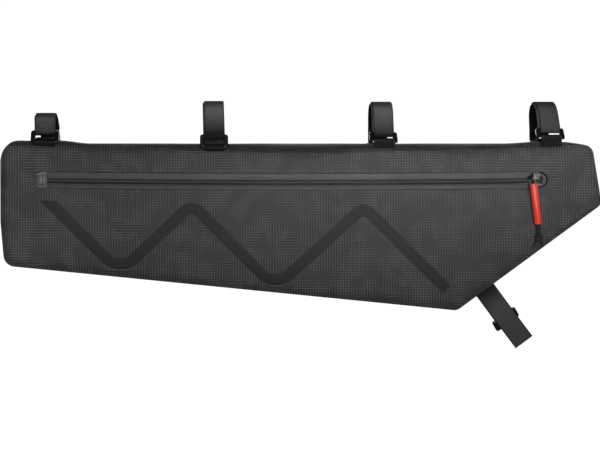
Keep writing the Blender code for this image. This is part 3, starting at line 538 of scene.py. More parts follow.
# Each corner edge across the bag gets its own radius, as a share of the largest offset.
CORNER_OFFSET = 0.017


def corner_weight(first, second):
    """Bevel weight of an edge across the bag."""
    row = at_corner(first, second)
    if row is None:
        return 0.0
    index = CORNERS.index(row)
    here = Vector(row[:2])
    way_in = here - Vector(CORNERS[index - 1][:2])
    way_out = Vector(CORNERS[(index + 1) % len(CORNERS)][:2]) - here
    return row[2] * math.tan(way_in.angle(way_out) / 2) / CORNER_OFFSET


edge_attribute(bag, "bevel_weight_edge", corner_weight)
with_modifier(bag, "BEVEL", width=CORNER_OFFSET, segments=8, limit_method="WEIGHT",
              use_clamp_overlap=False)
with_modifier(bag, "REMESH", mode="VOXEL", voxel_size=BODY_GRAIN)


def rounded_line(rows, arc_steps):
    """Line through corner points in X and height, with each corner turned at its radius."""
    places = [Vector(row[:2]) for row in rows]
    line = [places[0]]
    for index in range(1, len(places) - 1):
        way_in = (places[index] - places[index - 1]).normalized()
        way_out = (places[index + 1] - places[index]).normalized()
        turn = way_in.angle(way_out)
        side = 1.0 if way_in.cross(way_out) > 0 else -1.0
        radius = rows[index][2]
        start = places[index] - way_in * radius * math.tan(turn / 2)
        normal = Vector((-way_in.y, way_in.x)) * side
        for step in range(arc_steps + 1):
            swung = Matrix.Rotation(side * turn * step / arc_steps, 2) @ normal
            line.append(start + normal * radius - swung * radius)
    line.append(places[-1])
    return line


def roll_radius(x, height, facing_up):
    """Radius of the rolled edge between a panel and the gusset."""
    along_top = 1.0 - 0.53 * smooth_step((x - CORNERS[1][0]) / TOP_NARROWING)
    along_low = 1.0 - 0.55 * min(max((x - SLANT_START) / SLANT_NARROWING, 0.0), 1.0)
    share = along_low + (along_top - along_low) * smooth_step((height + 0.06) / 0.03)
    return EDGE_ROLL * share * (1.0 + TOP_SLUMP * slump(x) * max(facing_up, 0.0))


# Every point is set on the true skin: panel, gusset or the roll between them.
outline = rounded_line((CORNERS[6], *CORNERS[:6], CORNERS[6]), 10)
starts = np.array([tuple(point) for point in outline[:-1]])
ways = np.array([tuple(point) for point in outline[1:]]) - starts
kept = np.hypot(ways[:, 0], ways[:, 1]) > 0.00001
starts, ways = starts[kept], ways[kept]
places = np.array([(vert.co.x, vert.co.z - TOP_Z) for vert in bag.data.vertices])
offsets = places[:, None, :] - starts[None, :, :]
along = np.clip((offsets * ways).sum(axis=2) / (ways ** 2).sum(axis=1), 0.0, 1.0)
nearest = starts + along[:, :, None] * ways
gaps = np.hypot(*np.moveaxis(places[:, None, :] - nearest, 2, 0))
closest = gaps.argmin(axis=1)

for vert in bag.data.vertices:
    spot = nearest[vert.index, closest[vert.index]]
    edge_way = Vector(ways[closest[vert.index]]).normalized()
    outward = Vector((-edge_way.y, edge_way.x))
    side = 1.0 if vert.co.y > 0.0 else -1.0
    depth = gaps[vert.index, closest[vert.index]]
    inset = TOP_WIDTH / 2 - abs(vert.co.y)
    roll = roll_radius(spot[0], spot[1], outward.y)
    if depth < roll and inset < roll:
        rim = Vector((roll - depth, roll - inset)).normalized() * roll
        depth, inset = roll - rim.x, roll - rim.y
        on_panel = rim.y / roll
    elif inset < depth:
        inset, on_panel = 0.0, 1.0
    else:
        depth, on_panel = 0.0, 0.0
    if on_panel == 1.0 and inset == 0.0 and depth >= roll:
        x, height = places[vert.index]
    else:
        x, height = Vector(spot) - outward * depth
    out = half_width(height) - inset
    if inset >= roll:
        out = (half_width(height) - roll) * (TOP_WIDTH / 2 - inset) / (TOP_WIDTH / 2 - roll)
    out += (panel_crown(x, height) + ripple(x, height, side)) * on_panel
    lift = top_lift(x) * smooth_step(1.0 + height / LIFT_DEPTH)
    clear = smooth_step((min(abs(x - strap[0]) for strap in STRAPS) - FLAT_AT_STRAP) / LIFT_DEPTH)
    rise = GUSSET_RISE * max(outward.y, 0.0) * clear * (1.0 - on_panel)
    rise *= max(1.0 - (out / (TOP_WIDTH / 2)) ** 2, 0.0) * smooth_step(1.0 + height / 0.004)
    vert.co = (x, side * out, TOP_Z + height + lift + rise)


# The zip window is cut with walls that lean outwards, as the heat-cut cloth is rolled.
WINDOW_CENTRE = -0.0088
WINDOW_LENGTH = 0.4495
WINDOW_HEIGHT = 0.0144
WINDOW_DROP = 0.0318
ZIP_SAG = 0.0018
WINDOW_DEPTH = 0.0015
WINDOW_LEAN = 0.62
CUTTER_FRONT = 0.006
CUTTER_STATIONS = 24
CUTTER_PLAY = 0.0006


def window_end(side):
    """X of the zip window's rear (-1) or nose (1) end."""
    return WINDOW_CENTRE + side * WINDOW_LENGTH / 2


def zip_z(x):
    """Height of the middle of the zip window at x."""
    share = min(max((x - window_end(-1)) / WINDOW_LENGTH, 0.0), 1.0)
    return TOP_Z - WINDOW_DROP - ZIP_SAG * math.sin(math.pi * share)


bpy.ops.mesh.primitive_cube_add(size=1.0, location=(WINDOW_CENTRE, 0.0, 0.0))
window = bpy.context.object
window.scale = (WINDOW_LENGTH, 1.0, WINDOW_HEIGHT)
apply_place(window)
edge_attribute(window, "bevel_weight_edge",
               lambda first, second: 1.0 if abs(first.y - second.y) > 0.5 else 0.0)
with_modifier(window, "BEVEL", width=WINDOW_HEIGHT / 2 - 0.00005, segments=10,
              limit_method="WEIGHT")
bpy.ops.object.mode_set(mode="EDIT")
for step in range(1, CUTTER_STATIONS):
    station = window_end(-1) + WINDOW_LENGTH * step / CUTTER_STATIONS
    bpy.ops.mesh.select_all(action="SELECT")
    bpy.ops.mesh.bisect(plane_co=(station, 0.0, 0.0), plane_no=(1.0, 0.0, 0.0))
bpy.ops.object.mode_set(mode="OBJECT")
for vert in window.data.vertices:
    x, y, z = vert.co
    face = panel_y(x, zip_z(x) + z)
    out = Vector((max(abs(x - WINDOW_CENTRE) - WINDOW_LENGTH / 2 + WINDOW_HEIGHT / 2, 0.0), z))
    out = out.normalized()
    out.x *= 1.0 if x > WINDOW_CENTRE else -1.0
    depth = -CUTTER_FRONT if y < 0.0 else WINDOW_DEPTH
    spread = WINDOW_LEAN * (WINDOW_DEPTH - depth) - CUTTER_PLAY
    vert.co = (x + out.x * spread, face + depth, zip_z(x) + z + out.y * spread)
cleaned(window)
with_modifier(bag, "BOOLEAN", operation="DIFFERENCE", object=window, solver="EXACT")
bpy.data.objects.remove(window, do_unlink=True)
smooth(bag, 28)


def worked(tree, operation, *values, **settings):
    """Result of one operation on values."""
    made = node(tree, "Math", dict(enumerate(values)), operation=operation, **settings)
    return made.outputs[0]


def threads(tree, here, facing, axis, pitch, width, fade):
    """Thin raised threads at equal steps of one axis, left out where a face looks along it."""
    along = node(tree, "SeparateXYZ", {0: here}).outputs[axis]
    near = worked(tree, "PINGPONG", along, pitch / 2)
    line = ranged(tree, near, width * 0.30, width * 0.70, 1.0, 0.0, soft=True)
    looks = node(tree, "SeparateXYZ", {0: facing}).outputs[axis]
    looks = worked(tree, "ABSOLUTE", looks)
    flat = ranged(tree, looks, 0.55, 0.85, 1.0, 0.0)
    shown = worked(tree, "MULTIPLY", line, flat)
    return worked(tree, "MULTIPLY", shown, fade)


def top_edge_shade(tree, here):
    """Plain darker strip along the top, painted shade where the rolled top edge faces up, widest
    over the bag's middle.
    """
    place = node(tree, "SeparateXYZ", {0: here})
    left = ranged(tree, place.outputs[0], *STRIP_WIDENS, 0.0, TOP_SHADE_REACH, soft=True)
    right = ranged(tree, place.outputs[0], *STRIP_NARROWS, 0.0, TOP_SHADE_REACH)
    depth = worked(tree, "SUBTRACT", left, right)
    height = worked(tree, "ADD", place.outputs[2], depth)
    return ranged(tree, height, TOP_EDGE - STRIP_BLUR, TOP_EDGE, 0.0, TOP_SHADE_DARKNESS)


def ripstop_cloth(name, dark, light, thread_colour, roughness):
    """Coated ripstop: a fine dark weave with a square grid of lighter threads.

    Each direction of the threads shows only in patches, and the plain cloth between them
    is a little lighter than the weave. Along the top lies a darker strip of painted shade.
    """
    made, tree, shader = finish_named(name, light, roughness, {
        "Specular IOR Level": 0.3, "Sheen Weight": 0.08, "Sheen Roughness": 0.6})
    here = node(tree, "TexCoord").outputs["Object"]
    facing = node(tree, "NewGeometry").outputs["Normal"]
    cloud = clouds(tree, here, 70.0, 1.0)
    other = node(tree, "Mapping", {"Vector": here, "Location": (3.0, 1.0, 2.0)}).outputs[0]
    other = clouds(tree, other, 62.0, 1.0)
    grid = None
    shown = None
    for axis, (field, gone) in enumerate(zip((cloud, other, other), THREADS_GONE)):
        fade = ranged(tree, field, gone, gone + THREAD_FADE, THREAD_LEAST, 1.0)
        lines = threads(tree, here, facing, axis, THREAD_PITCH, THREAD_WIDTH, fade)
        if grid is None:
            grid, shown = lines, fade
        else:
            grid = worked(tree, "MAXIMUM", grid, lines)
            shown = worked(tree, "MAXIMUM", shown, fade)
    weave = clouds(tree, here, 2200.0, 2.0)
    smoky = clouds(tree, here, 9.0, 5.0)
    tone = ranged(tree, smoky, 0.35, 0.65)
    grain = worked(tree, "MULTIPLY", weave, tone)
    base = blended(tree, tone, dark, light)
    base = blended(tree, grain, base, light)
    base = blended(tree, shown, PLAIN_CLOTH, base)
    cloth = blended(tree, grid, base, thread_colour)
    # Painted shade of the upward-facing top edge, laid over the cloth and its threads.
    cloth = blended(tree, top_edge_shade(tree, here), cloth, dark)
    coloured(tree, shader, cloth)
    relief = worked(tree, "MULTIPLY_ADD", weave, 0.25, grid)
    raised(tree, shader, relief, 0.00012)
    return made


ripstop = ripstop_cloth("coated_ripstop", CLOTH_DARK, CLOTH_LIGHT, THREAD_COLOUR, 0.58)
dressed(bag, "bag_body", ripstop, "ripstop", "main_shell")


# Zigzag band: smooth tape bonded flat on the zipped panel. Its edges are pressed into the
# cloth, so they look soft, and the grid shows faintly through.
BAND_WIDTH = 0.0126
BAND_HEIGHT = 0.00022
BAND_COLOUR = (0.0055, 0.0055, 0.0057, 1)
BAND_THREAD = (0.0085, 0.0085, 0.0087, 1)
BAND_TURNS = (
    # x, z below the top, radius of the turn
    (-0.2280, -0.0429, 0.0), (-0.1575, -0.1124, 0.0183), (-0.0947, -0.0531, 0.0095),
    (-0.0219, -0.1258, 0.0176), (0.0553, -0.0559, 0.0071), (0.1311, -0.1299, 0.0),
)
BAND_TOP = -0.0499
BAND_FADE = 0.012
BAND_SINK = 0.3
BAND_SLOPE = 0.4
BAND_STEP = 0.0022
BAND_THICKNESS = 0.0008
BAND_CELLS = 10


def even_line(line, step):
    """The same line with points at equal steps."""
    points = [line[0]]
    for start, end in zip(line, line[1:]):
        count = max(round((end - start).length / step), 1)
        points += [start.lerp(end, share / count) for share in range(1, count + 1)]
    return points


def thickened(sheet, thickness):
    """Turn a sheet's face to the zipped side and give it its thickness behind."""
    if sheet.data.polygons[0].normal.y > 0.0:
        sheet.data.flip_normals()
    with_modifier(sheet, "SOLIDIFY", thickness=thickness, offset=-1.0)
    smooth(sheet, 50)


band_line = even_line(rounded_line(BAND_TURNS, 10), BAND_STEP)
bpy.ops.mesh.primitive_grid_add(x_subdivisions=len(band_line) - 1, y_subdivisions=BAND_CELLS,
                                size=1.0)
band = bpy.context.object
across_layer = band.data.attributes.new("from_edge", "FLOAT", "POINT")
band_left = [0.0]
for start, end in zip(band_line[::-1], band_line[-2::-1]):
    band_left.append(band_left[-1] + (end - start).length)
band_left.reverse()
for vert in band.data.vertices:
    index = round((vert.co.x + 0.5) * (len(band_line) - 1))
    share = math.sin(vert.co.y * math.pi)
    before, after = band_line[max(index - 1, 0)], band_line[min(index + 1, len(band_line) - 1)]
    way = (after - before).normalized()
    spot = band_line[index] + Vector((-way.y, way.x)) * share * BAND_WIDTH / 2
    if index < len(band_line) / 8 and spot.y > BAND_TOP:
        spot += way * (BAND_TOP - spot.y) / way.y
    z = TOP_Z + spot.y
    fading = 1.0 - smooth_step(band_left[index] / BAND_FADE)
    edge = smooth_step((1.0 - max(abs(share), fading)) / BAND_SLOPE)
    rise = BAND_HEIGHT * ((1.0 + BAND_SINK) * edge - BAND_SINK)
    vert.co = (spot.x, panel_y(spot.x, z) - rise, z)
    across_layer.data[vert.index].value = max(abs(share), fading)
cleaned(band, merge=0.0002)
thickened(band, BAND_THICKNESS)


def painted(tree, name):
    """Value that a piece's mesh carries in a named attribute."""
    return node(tree, "Attribute", attribute_name=name).outputs["Fac"]


bonded, tree, shader = finish_named("bonded_tape", BAND_COLOUR, 0.62)
here = node(tree, "TexCoord").outputs["Object"]
facing = node(tree, "NewGeometry").outputs["Normal"]
rows = threads(tree, here, facing, 0, THREAD_PITCH, THREAD_WIDTH, 1.0)
lines = threads(tree, here, facing, 2, THREAD_PITCH, THREAD_WIDTH, 1.0)
grid = worked(tree, "MAXIMUM", rows, lines)
cloud = clouds(tree, here, 30.0, 4.0)
faint = worked(tree, "MULTIPLY", grid, cloud)
across = painted(tree, "from_edge")
edge = ranged(tree, across, 0.70, 1.0, soft=True)
tape = blended(tree, faint, BAND_COLOUR, BAND_THREAD)
under = blended(tree, grid, CLOTH_LIGHT, THREAD_COLOUR)
coloured(tree, shader, blended(tree, edge, tape, under))
raised(tree, shader, grid, 0.00006)
dressed(band, "zigzag_tape", bonded, "bonded_tape", "zigzag_band")


# Zip: two tapes with a matt water-resistant coating, whose folded lips meet over the coil
# and leave a thin line between them. The upper lip stands a little higher.
SLIT_OFFSET = 0.0021
TAPE_COLOUR = (0.0180, 0.0180, 0.0184, 1)
TAPE_LIGHT = (0.0262, 0.0262, 0.0270, 1)
ZIP_END_REACH = 0.0044
TOUCH_GAP = 0.0003
TAPE_THICKNESS = 0.0009
SLIT_HALF = 0.00012

coated_tape, tree, shader = finish_named("coated_zip_tape", TAPE_COLOUR, 0.48)
here = node(tree, "TexCoord").outputs["Object"]
fine = clouds(tree, here, 900.0, 3.0)
cloud = clouds(tree, here, 35.0, 4.0)
tone = worked(tree, "MULTIPLY", fine, cloud)
tone = ranged(tree, tone, 0.15, 0.4)
coloured(tree, shader, blended(tree, tone, TAPE_COLOUR, TAPE_LIGHT))
ribs = node(tree, "TexWave", {"Vector": here, "Scale": 210.0, "Distortion": 0.3},
            bands_direction="X").outputs["Fac"]
relief = worked(tree, "MULTIPLY_ADD", ribs, 0.6, fine)
raised(tree, shader, relief, 0.00006)

zip_start = window_end(-1) + WINDOW_HEIGHT / 2 + ZIP_END_REACH + TOUCH_GAP
zip_finish = window_end(1) - WINDOW_HEIGHT / 2 - TOUCH_GAP
UPPER_LIP = ((0.0, 0.0006), (0.06, 0.0000), (0.16, -0.0003), (0.26, 0.0000), (0.36, 0.0005),
             (0.60, 0.0007), (1.0, 0.0008))
LOWER_LIP = ((0.0, 0.0009), (0.12, 0.0004), (0.28, 0.0003), (0.45, 0.0006), (1.0, 0.0008))


def zip_tape(name, slit, edge, profile, packed):
    """Coated tape from the slit to the window's edge, its section given by a profile."""
    bpy.ops.mesh.primitive_grid_add(x_subdivisions=150, y_subdivisions=len(profile) * 2,
                                    size=1.0)
    tape = bpy.context.object
    for vert in tape.data.vertices:
        share = vert.co.y + 0.5
        x = zip_start + (zip_finish - zip_start) * (vert.co.x + 0.5)
        z = zip_z(x) + slit + (edge - slit) * share
        for (low, deep), (high, next_deep) in zip(profile, profile[1:]):
            if low <= share <= high:
                recess = deep + (next_deep - deep) * (share - low) / (high - low)
        vert.co = (x, panel_y(x, z) + recess, z)
    thickened(tape, TAPE_THICKNESS)
    return dressed(tape, name, coated_tape, "zip_tape", packed)


half_window = WINDOW_HEIGHT / 2 - TOUCH_GAP
zip_tape("zip_upper_tape", SLIT_HALF - SLIT_OFFSET, half_window, UPPER_LIP, "zip_tape_upper")
zip_tape("zip_lower_tape", -SLIT_HALF - SLIT_OFFSET, -half_window, LOWER_LIP, "zip_tape_lower")


# Zip stop: a low moulded block over the rear end of the zip, with a black slot behind it
# and a lighter rib in front. The slot's black is painted shadow and the rib's light is a painted
# highlight. The half-round plate round it is coated as the tapes are.
STOP_SECTIONS = (
    # x of the middle, width, z of the middle, height, rise over the panel, tone: 0 painted
    # shadow, 1 painted highlight
    (-0.2275, 0.0058, 0.0, 0.0086, 0.0013, 0.45),
    (-0.2244, 0.0022, 0.0006, 0.0072, 0.0017, 1.00),
    (-0.2264, 0.0058, -0.0047, 0.0012, 0.0014, 0.80),
    (-0.2317, 0.0019, 0.0, 0.0076, -0.0001, 0.0),
)
STOP_PLATE = (0.0005, 0.0016)
STOP_BACK = 0.0010
STOP_BASE = 0.0012
STOP_SHADOW = (0.004, 0.004, 0.004, 1)
STOP_HIGHLIGHT = (0.105, 0.105, 0.107, 1)
PLATE_TONE = 2.0


def boxed(place, sizes, width, segments):
    """Block with rounded edges, its place in its mesh."""
    bpy.ops.mesh.primitive_cube_add(size=1.0, location=place)
    block = bpy.context.object
    block.scale = sizes
    apply_place(block)
    softened(block, width, segments)
    return block


def joined(pieces):
    """One object from several."""
    bpy.ops.object.select_all(action="DESELECT")
    for piece in pieces:
        piece.select_set(True)
    bpy.context.view_layer.objects.active = pieces[0]
    bpy.ops.object.join()
    return bpy.context.object


def toned(piece, tone):
    """Give a piece one value of the attribute that its material reads as its tone."""
    layer = piece.data.attributes.new("tone", "FLOAT", "POINT")
    for item in layer.data:
        item.value = tone


def half_disc(name, centre_x, side, reach, front, back):
    """Plate with a round end that fills one end of the zip window."""
    middle_z = zip_z(centre_x)
    bpy.ops.mesh.primitive_cylinder_add(vertices=64, radius=half_window, depth=back - front,
                                        location=(centre_x, (front + back) / 2, middle_z),
                                        rotation=(math.radians(90), 0, 0))
    disc = bpy.context.object
    apply_place(disc)
    disc.name = name
    for vert in disc.data.vertices:
        if (vert.co.x - centre_x) * side < 0.0:
            vert.co.x = centre_x - side * reach
            vert.co.z = middle_z + half_window * (1.0 if vert.co.z > middle_z else -1.0)
    cleaned(disc, merge=0.00001)
    return disc


stop_x = window_end(-1) + WINDOW_HEIGHT / 2
stop_face = panel_y(stop_x, zip_z(stop_x))
plate_front, plate_back = (stop_face + depth for depth in STOP_PLATE)
plate = half_disc("stop_plate", stop_x, -1, ZIP_END_REACH, plate_front, plate_back)
toned(plate, PLATE_TONE)
stop_parts = [plate]
for x, width, z, height, rise, tone in STOP_SECTIONS:
    depth = STOP_BASE + rise
    block = boxed((x, stop_face + STOP_BACK - depth / 2, zip_z(x) + z), (width, depth, height),
                  0.0005, 3)
    toned(block, tone)
    stop_parts.append(block)
stop = joined(stop_parts)

moulded_stop, tree, shader = finish_named("moulded_stop", STOP_HIGHLIGHT, 0.38)
tone = painted(tree, "tone")
plain = worked(tree, "GREATER_THAN", tone, 1.5)
here = node(tree, "TexCoord").outputs["Object"]
fine = clouds(tree, here, 700.0, 3.0)
# Tone 0 paints the slot's shadow black and tone 1 paints the rib's highlight, with grey plastic
# between.
block_colour = blended(tree, tone, STOP_SHADOW, STOP_HIGHLIGHT)
plate_colour = blended(tree, fine, TAPE_COLOUR, TAPE_LIGHT)
coloured(tree, shader, blended(tree, plain, block_colour, plate_colour))
raised(tree, shader, fine, 0.00004)
smooth(stop, 40)
dressed(stop, "zip_stop", moulded_stop, "black_plastic", "zip_end")


# Zip dock: matt black moulded cup at the nose end of the zip that the slider parks in.
# Its curved wall stands round the slider's nose.
DOCK_BLACK = (0.007, 0.007, 0.007, 1)


def node_copy(name):
    """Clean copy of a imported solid's mesh, with its flat faces whole again."""
    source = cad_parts[name]
    piece = source.copy()
    piece.data = source.data.copy()
    bpy.context.scene.collection.objects.link(piece)
    piece.parent = None
    piece.matrix_world = source.matrix_world.copy()
    apply_place(piece)
    cleaned(piece, merge=0.00001, flatten=3.0)
    return piece


dock = node_copy("zip_dock")
softened(dock, 0.00035, 3, 40)
smooth(dock, 35)
matt_plastic = finish_named("matt_black_plastic", DOCK_BLACK, 0.6,
                            {"Specular IOR Level": 0.15})[0]
dressed(dock, "parking_dock", matt_plastic, "black_plastic", "zip_dock")


# Zip slider: cast metal, worn dark and mottled, with a bridge along its top and an oval
# eye in its side that a small bright lip closes below. A black disc in the eye is painted shade
# of its hole.
EYE_PLACE = (0.2074, -0.0341, -0.0518)
EYE_SIZE = (0.0034, 0.0022)
EYE_RIM = 0.22
EYE_DEPTH = 0.0040
EYE_SHADE_DEPTH = 0.0020
LIP_OFFSET = (-0.0004, 0.0002, -0.0028)
LIP_SIZE = (0.0042, 0.0022, 0.0014)
SLIDER_TONE, EYE_TONE, EYE_SHADE_TONE, LIP_TONE = 0.32, 0.75, -1.0, 0.95
METAL_DARK = (0.008, 0.008, 0.008, 1)
METAL_LIGHT = (0.24, 0.24, 0.235, 1)

slider = node_copy("zip_slider")
softened(slider, 0.0004, 3, 40)
toned(slider, SLIDER_TONE)
bpy.ops.mesh.primitive_torus_add(major_segments=40, minor_segments=12, major_radius=1.0,
                                 minor_radius=EYE_RIM, location=EYE_PLACE,
                                 rotation=(math.radians(90), 0, 0))
eye = bpy.context.object
eye.scale = (EYE_SIZE[0], EYE_SIZE[1], EYE_DEPTH)
apply_place(eye)
toned(eye, EYE_TONE)
# Black disc filling the eye: painted shade of the eye's hole.
bpy.ops.mesh.primitive_cylinder_add(vertices=40, radius=1.0, depth=EYE_SHADE_DEPTH,
                                    location=EYE_PLACE, rotation=(math.radians(90), 0, 0))
eye_shade = bpy.context.object
eye_shade.scale = (EYE_SIZE[0], EYE_SIZE[1], 1.0)
apply_place(eye_shade)
toned(eye_shade, EYE_SHADE_TONE)
lip = boxed([spot + step for spot, step in zip(EYE_PLACE, LIP_OFFSET)], LIP_SIZE, 0.0005, 3)
toned(lip, LIP_TONE)
slider = joined([slider, eye, eye_shade, lip])
smooth(slider, 40)

worn_metal, tree, shader = finish_named("worn_gunmetal", METAL_LIGHT, 0.42,
                                        {"Metallic": 0.85})
tone = painted(tree, "tone")
here = node(tree, "TexCoord").outputs["Object"]
mottle = clouds(tree, here, 900.0, 4.0)
patch = ranged(tree, mottle, 0.35, 0.65, -0.3, 0.3)
shine = worked(tree, "ADD", tone, patch, use_clamp=True)
coloured(tree, shader, blended(tree, shine, METAL_DARK, METAL_LIGHT))
raised(tree, shader, mottle, 0.00006)
dressed(slider, "zip_slider_body", worn_metal, "gunmetal", "zip_slider")


# Strap patches and tabs: black webbing. Each patch lies on the bag's top under its strap,
# and each tab comes up the bag's near edge, holds the ring's lower bar and goes back.
STRAP_WIDTH = 0.0177
STRAP_THICKNESS = 0.0014
TAB_WIDTH = 0.0178
TAB_THICKNESS = 0.0012
PATCH_THICKNESS = 0.0012
PATCH_DEPTH = 0.033
RING_BAR = 0.003
RING_SIDE = 0.0032
TAB_BACK = (0.53, 0.38, 0.22, 0.06)
TAB_EDGE = -0.0239
# Rows of each tab's line that get a painted highlight where it bends over the ring's bar.
TAB_HIGHLIGHT_ROWS = (3, 7)
LOOPS = (
    # number, x, top of the bag there, ring's lower bar and upper bar across the bag, loop's
    # outer top, start of the tab, how far the loop leans at its top and its painted lightness
    ("1", STRAPS[0][0], -0.0156, (-0.02985, -0.0176), (-0.02579, -0.00846), 0.01024,
     (-0.0292, -0.0205), -0.0020, 0.92),
    ("2", STRAPS[1][0], -0.0182, (-0.0309, -0.02192), (-0.02848, -0.01222), 0.02090,
     (-0.0294, -0.0248), -0.0006, 1.0),
    ("3", STRAPS[2][0], -0.0182, (-0.02659, -0.01696), (-0.0199, -0.00953), 0.02024,
     (-0.0293, -0.0224), 0.0, 0.74),
    ("4", STRAPS[3][0], -0.0167, (-0.0264, -0.01376), (-0.01997, -0.0061), 0.02024,
     (-0.0297, -0.0212), -0.0017, 0.44),
)
WEBBING_BLACK = (0.0022, 0.0022, 0.0023, 1)
WEBBING_GREY = (0.0075, 0.0075, 0.0077, 1)
WEBBING_HIGHLIGHT = (0.0380, 0.0380, 0.0385, 1)


def wrap(centre, radius, start, end, steps):
    """Points on an arc from one angle to another, in degrees."""
    points = []
    for step in range(steps + 1):
        angle = math.radians(start + (end - start) * step / steps)
        points.append(centre + Vector((math.cos(angle), math.sin(angle))) * radius)
    return points


def wrap_between(centre, radius, before, after, steps=14):
    """Arc clockwise round a bar between the lines that reach it from two points."""
    angles = []
    for point, side in ((before, -1), (after, 1)):
        way = point - centre
        spread = math.acos(radius / way.length)
        angles.append(math.degrees(math.atan2(way.y, way.x) + side * spread))
    start, end = angles
    while end > start:
        end -= 360.0
    return wrap(centre, radius, start, end, steps)


def ribbon(line, place, width, thickness, shade, drift=None, cells=12):
    """Strip of cloth along a line in a plane, rounded at its edges.

    shade(index, skin) is its tone from 0, black, to 1 at a point of the line, on the face
    where skin is 1 or -1. drift(index) shifts it across.
    """
    bpy.ops.mesh.primitive_grid_add(x_subdivisions=len(line) - 1, y_subdivisions=cells,
                                    size=1.0)
    piece = bpy.context.object
    with_modifier(piece, "SOLIDIFY", thickness=1.0, offset=0.0)
    across_layer = piece.data.attributes.new("across", "FLOAT", "POINT")
    shade_layer = piece.data.attributes.new("shade", "FLOAT", "POINT")
    for vert in piece.data.vertices:
        index = round((vert.co.x + 0.5) * (len(line) - 1))
        share = math.sin(vert.co.y * math.pi)
        way = (line[min(index + 1, len(line) - 1)] - line[max(index - 1, 0)]).normalized()
        swell = 0.25 + 0.75 * math.sqrt(1.0 - max((abs(share) - 0.88) / 0.12, 0.0) ** 2)
        spot = line[index] + Vector((-way.y, way.x)) * vert.co.z * thickness * swell
        shift = drift(index) if drift else 0.0
        skin = 1 if vert.co.z > 0.0 else -1
        across_layer.data[vert.index].value = share
        shade_layer.data[vert.index].value = shade(index, skin)
        vert.co = place @ Vector((spot.x, spot.y, share * width / 2 + shift))
    cleaned(piece)
    smooth(piece, 60)
    return piece


def across_bag(x):
    """Plane across the bag at x: its own X is world Y and its own Y is world Z."""
    return Matrix(((0, 0, 1, x), (1, 0, 0, 0), (0, 1, 0, 0), (0, 0, 0, 1)))


webbing, tree, shader = finish_named("black_webbing", WEBBING_BLACK, 0.75,
                                     {"Specular IOR Level": 0.25})
here = node(tree, "TexCoord").outputs["Object"]
ribs = node(tree, "TexWave", {"Vector": here, "Scale": 300.0, "Distortion": 0.6},
            bands_direction="X").outputs["Fac"]
fuzz = clouds(tree, here, 1600.0, 2.0)
yarn = worked(tree, "MULTIPLY", ribs, fuzz)
# On the tabs the shade attribute marks the rows of painted highlight over the ring's bar.
shade = painted(tree, "shade")
plain = blended(tree, yarn, WEBBING_BLACK, WEBBING_GREY)
coloured(tree, shader, blended(tree, shade, plain, WEBBING_HIGHLIGHT))
raised(tree, shader, yarn, 0.0001)


def bar_highlight(index, skin):
    """Painted highlight: lighter rows where the webbing bends over the ring's bar."""
    return 1.0 if index in TAB_HIGHLIGHT_ROWS else 0.0


for number, x, top, foot, head, loop_top, tab_start, lean, painted_lightness in LOOPS:
    patch = node_copy("strap_patch_" + number)
    softened(patch, 0.00035, 2, 40)
    smooth(patch, 40)
    dressed(patch, "top_patch_" + number, webbing, "webbing", "strap_patch_" + number)

    skin = TOUCH_GAP + TAB_THICKNESS / 2
    shelf = top + TOUCH_GAP + PATCH_THICKNESS + skin
    back = [Vector((-PATCH_DEPTH * share, shelf)) for share in TAB_BACK]
    if foot[1] < shelf - TAB_THICKNESS:
        back = [Vector((TAB_EDGE, top + TOUCH_GAP))] + back
    start = Vector(tab_start)
    over = wrap_between(Vector(foot), RING_BAR / 2 + skin, start, back[0])
    tab_line = [start, start.lerp(over[0], 0.5)] + over + smooth_line(back, 3)
    tab = ribbon(tab_line, across_bag(x), TAB_WIDTH, TAB_THICKNESS, bar_highlight)
    dressed(tab, "holding_tab_" + number, webbing, "webbing", "ring_tab_" + number)


# Rings: glossy black moulded plastic with a slot. Each stands in its tab and leans to the
# tube, and its strap turns back round its upper bar.
RING_BLACK = (0.006, 0.006, 0.006, 1)
RING_SCUFFED = (0.016, 0.016, 0.016, 1)


def broad_sides(ring, place):
    """Brings a ring's slot in at both ends, so that its side bars are broader."""
    inward = place.inverted()
    own = [inward @ vert.co for vert in ring.data.vertices]
    outer = max(abs(spot.z) for spot in own)
    slot = max(abs(spot.z) for spot in own if abs(spot.z) < outer - RING_SIDE * 0.5)
    for vert, spot in zip(ring.data.vertices, own):
        if abs(spot.z) <= slot:
            spot.z *= (outer - RING_SIDE) / slot
            vert.co = place @ spot


glossy_plastic, tree, shader = finish_named("glossy_black_plastic", RING_BLACK, 0.24,
                                            {"Coat Weight": 0.3})
here = node(tree, "TexCoord").outputs["Object"]
scuffs = clouds(tree, here, 380.0, 4.0)
grey = ranged(tree, scuffs, 0.5, 0.8)
coloured(tree, shader, blended(tree, grey, RING_BLACK, RING_SCUFFED))
raised(tree, shader, scuffs, 0.00005, 0.5)

for number, x in [row[:2] for row in LOOPS]:
    ring = node_copy("ring_" + number)
    broad_sides(ring, across_bag(x))
    softened(ring, 0.0005, 3, 35)
    smooth(ring, 50)
    dressed(ring, "moulded_ring_" + number, glossy_plastic, "black_plastic", "ring_" + number)


# Straps: soft grey hook-and-loop cloth. Each comes from its patch, goes over the tube and
# through its ring, and is pressed down on itself, so two edges show beside each other.
STRAP_REACH = 0.0171
STRAP_GREY = (0.1250, 0.1250, 0.1256, 1)
STRAP_LIGHT = (0.1700, 0.1700, 0.1710, 1)
STRAP_BLACK = (0.0045, 0.0045, 0.0046, 1)
STRAP_DRIFT = 0.0006
LOOP_LOW = 0.016
LOOP_OVER = (2, 28, 52, 74, 96, 120, 145, 165)
LOOP_BACK = (158, 138, 116, 92, 68, 46, 24, 4)
# Painted shade on each strap: it darkens between these two heights towards its ring, and over
# this depth below its crest.
RING_SHADE_TOP = -0.0045
RING_SHADE_LOW = -0.0110
CREST_SHADE = 0.0085

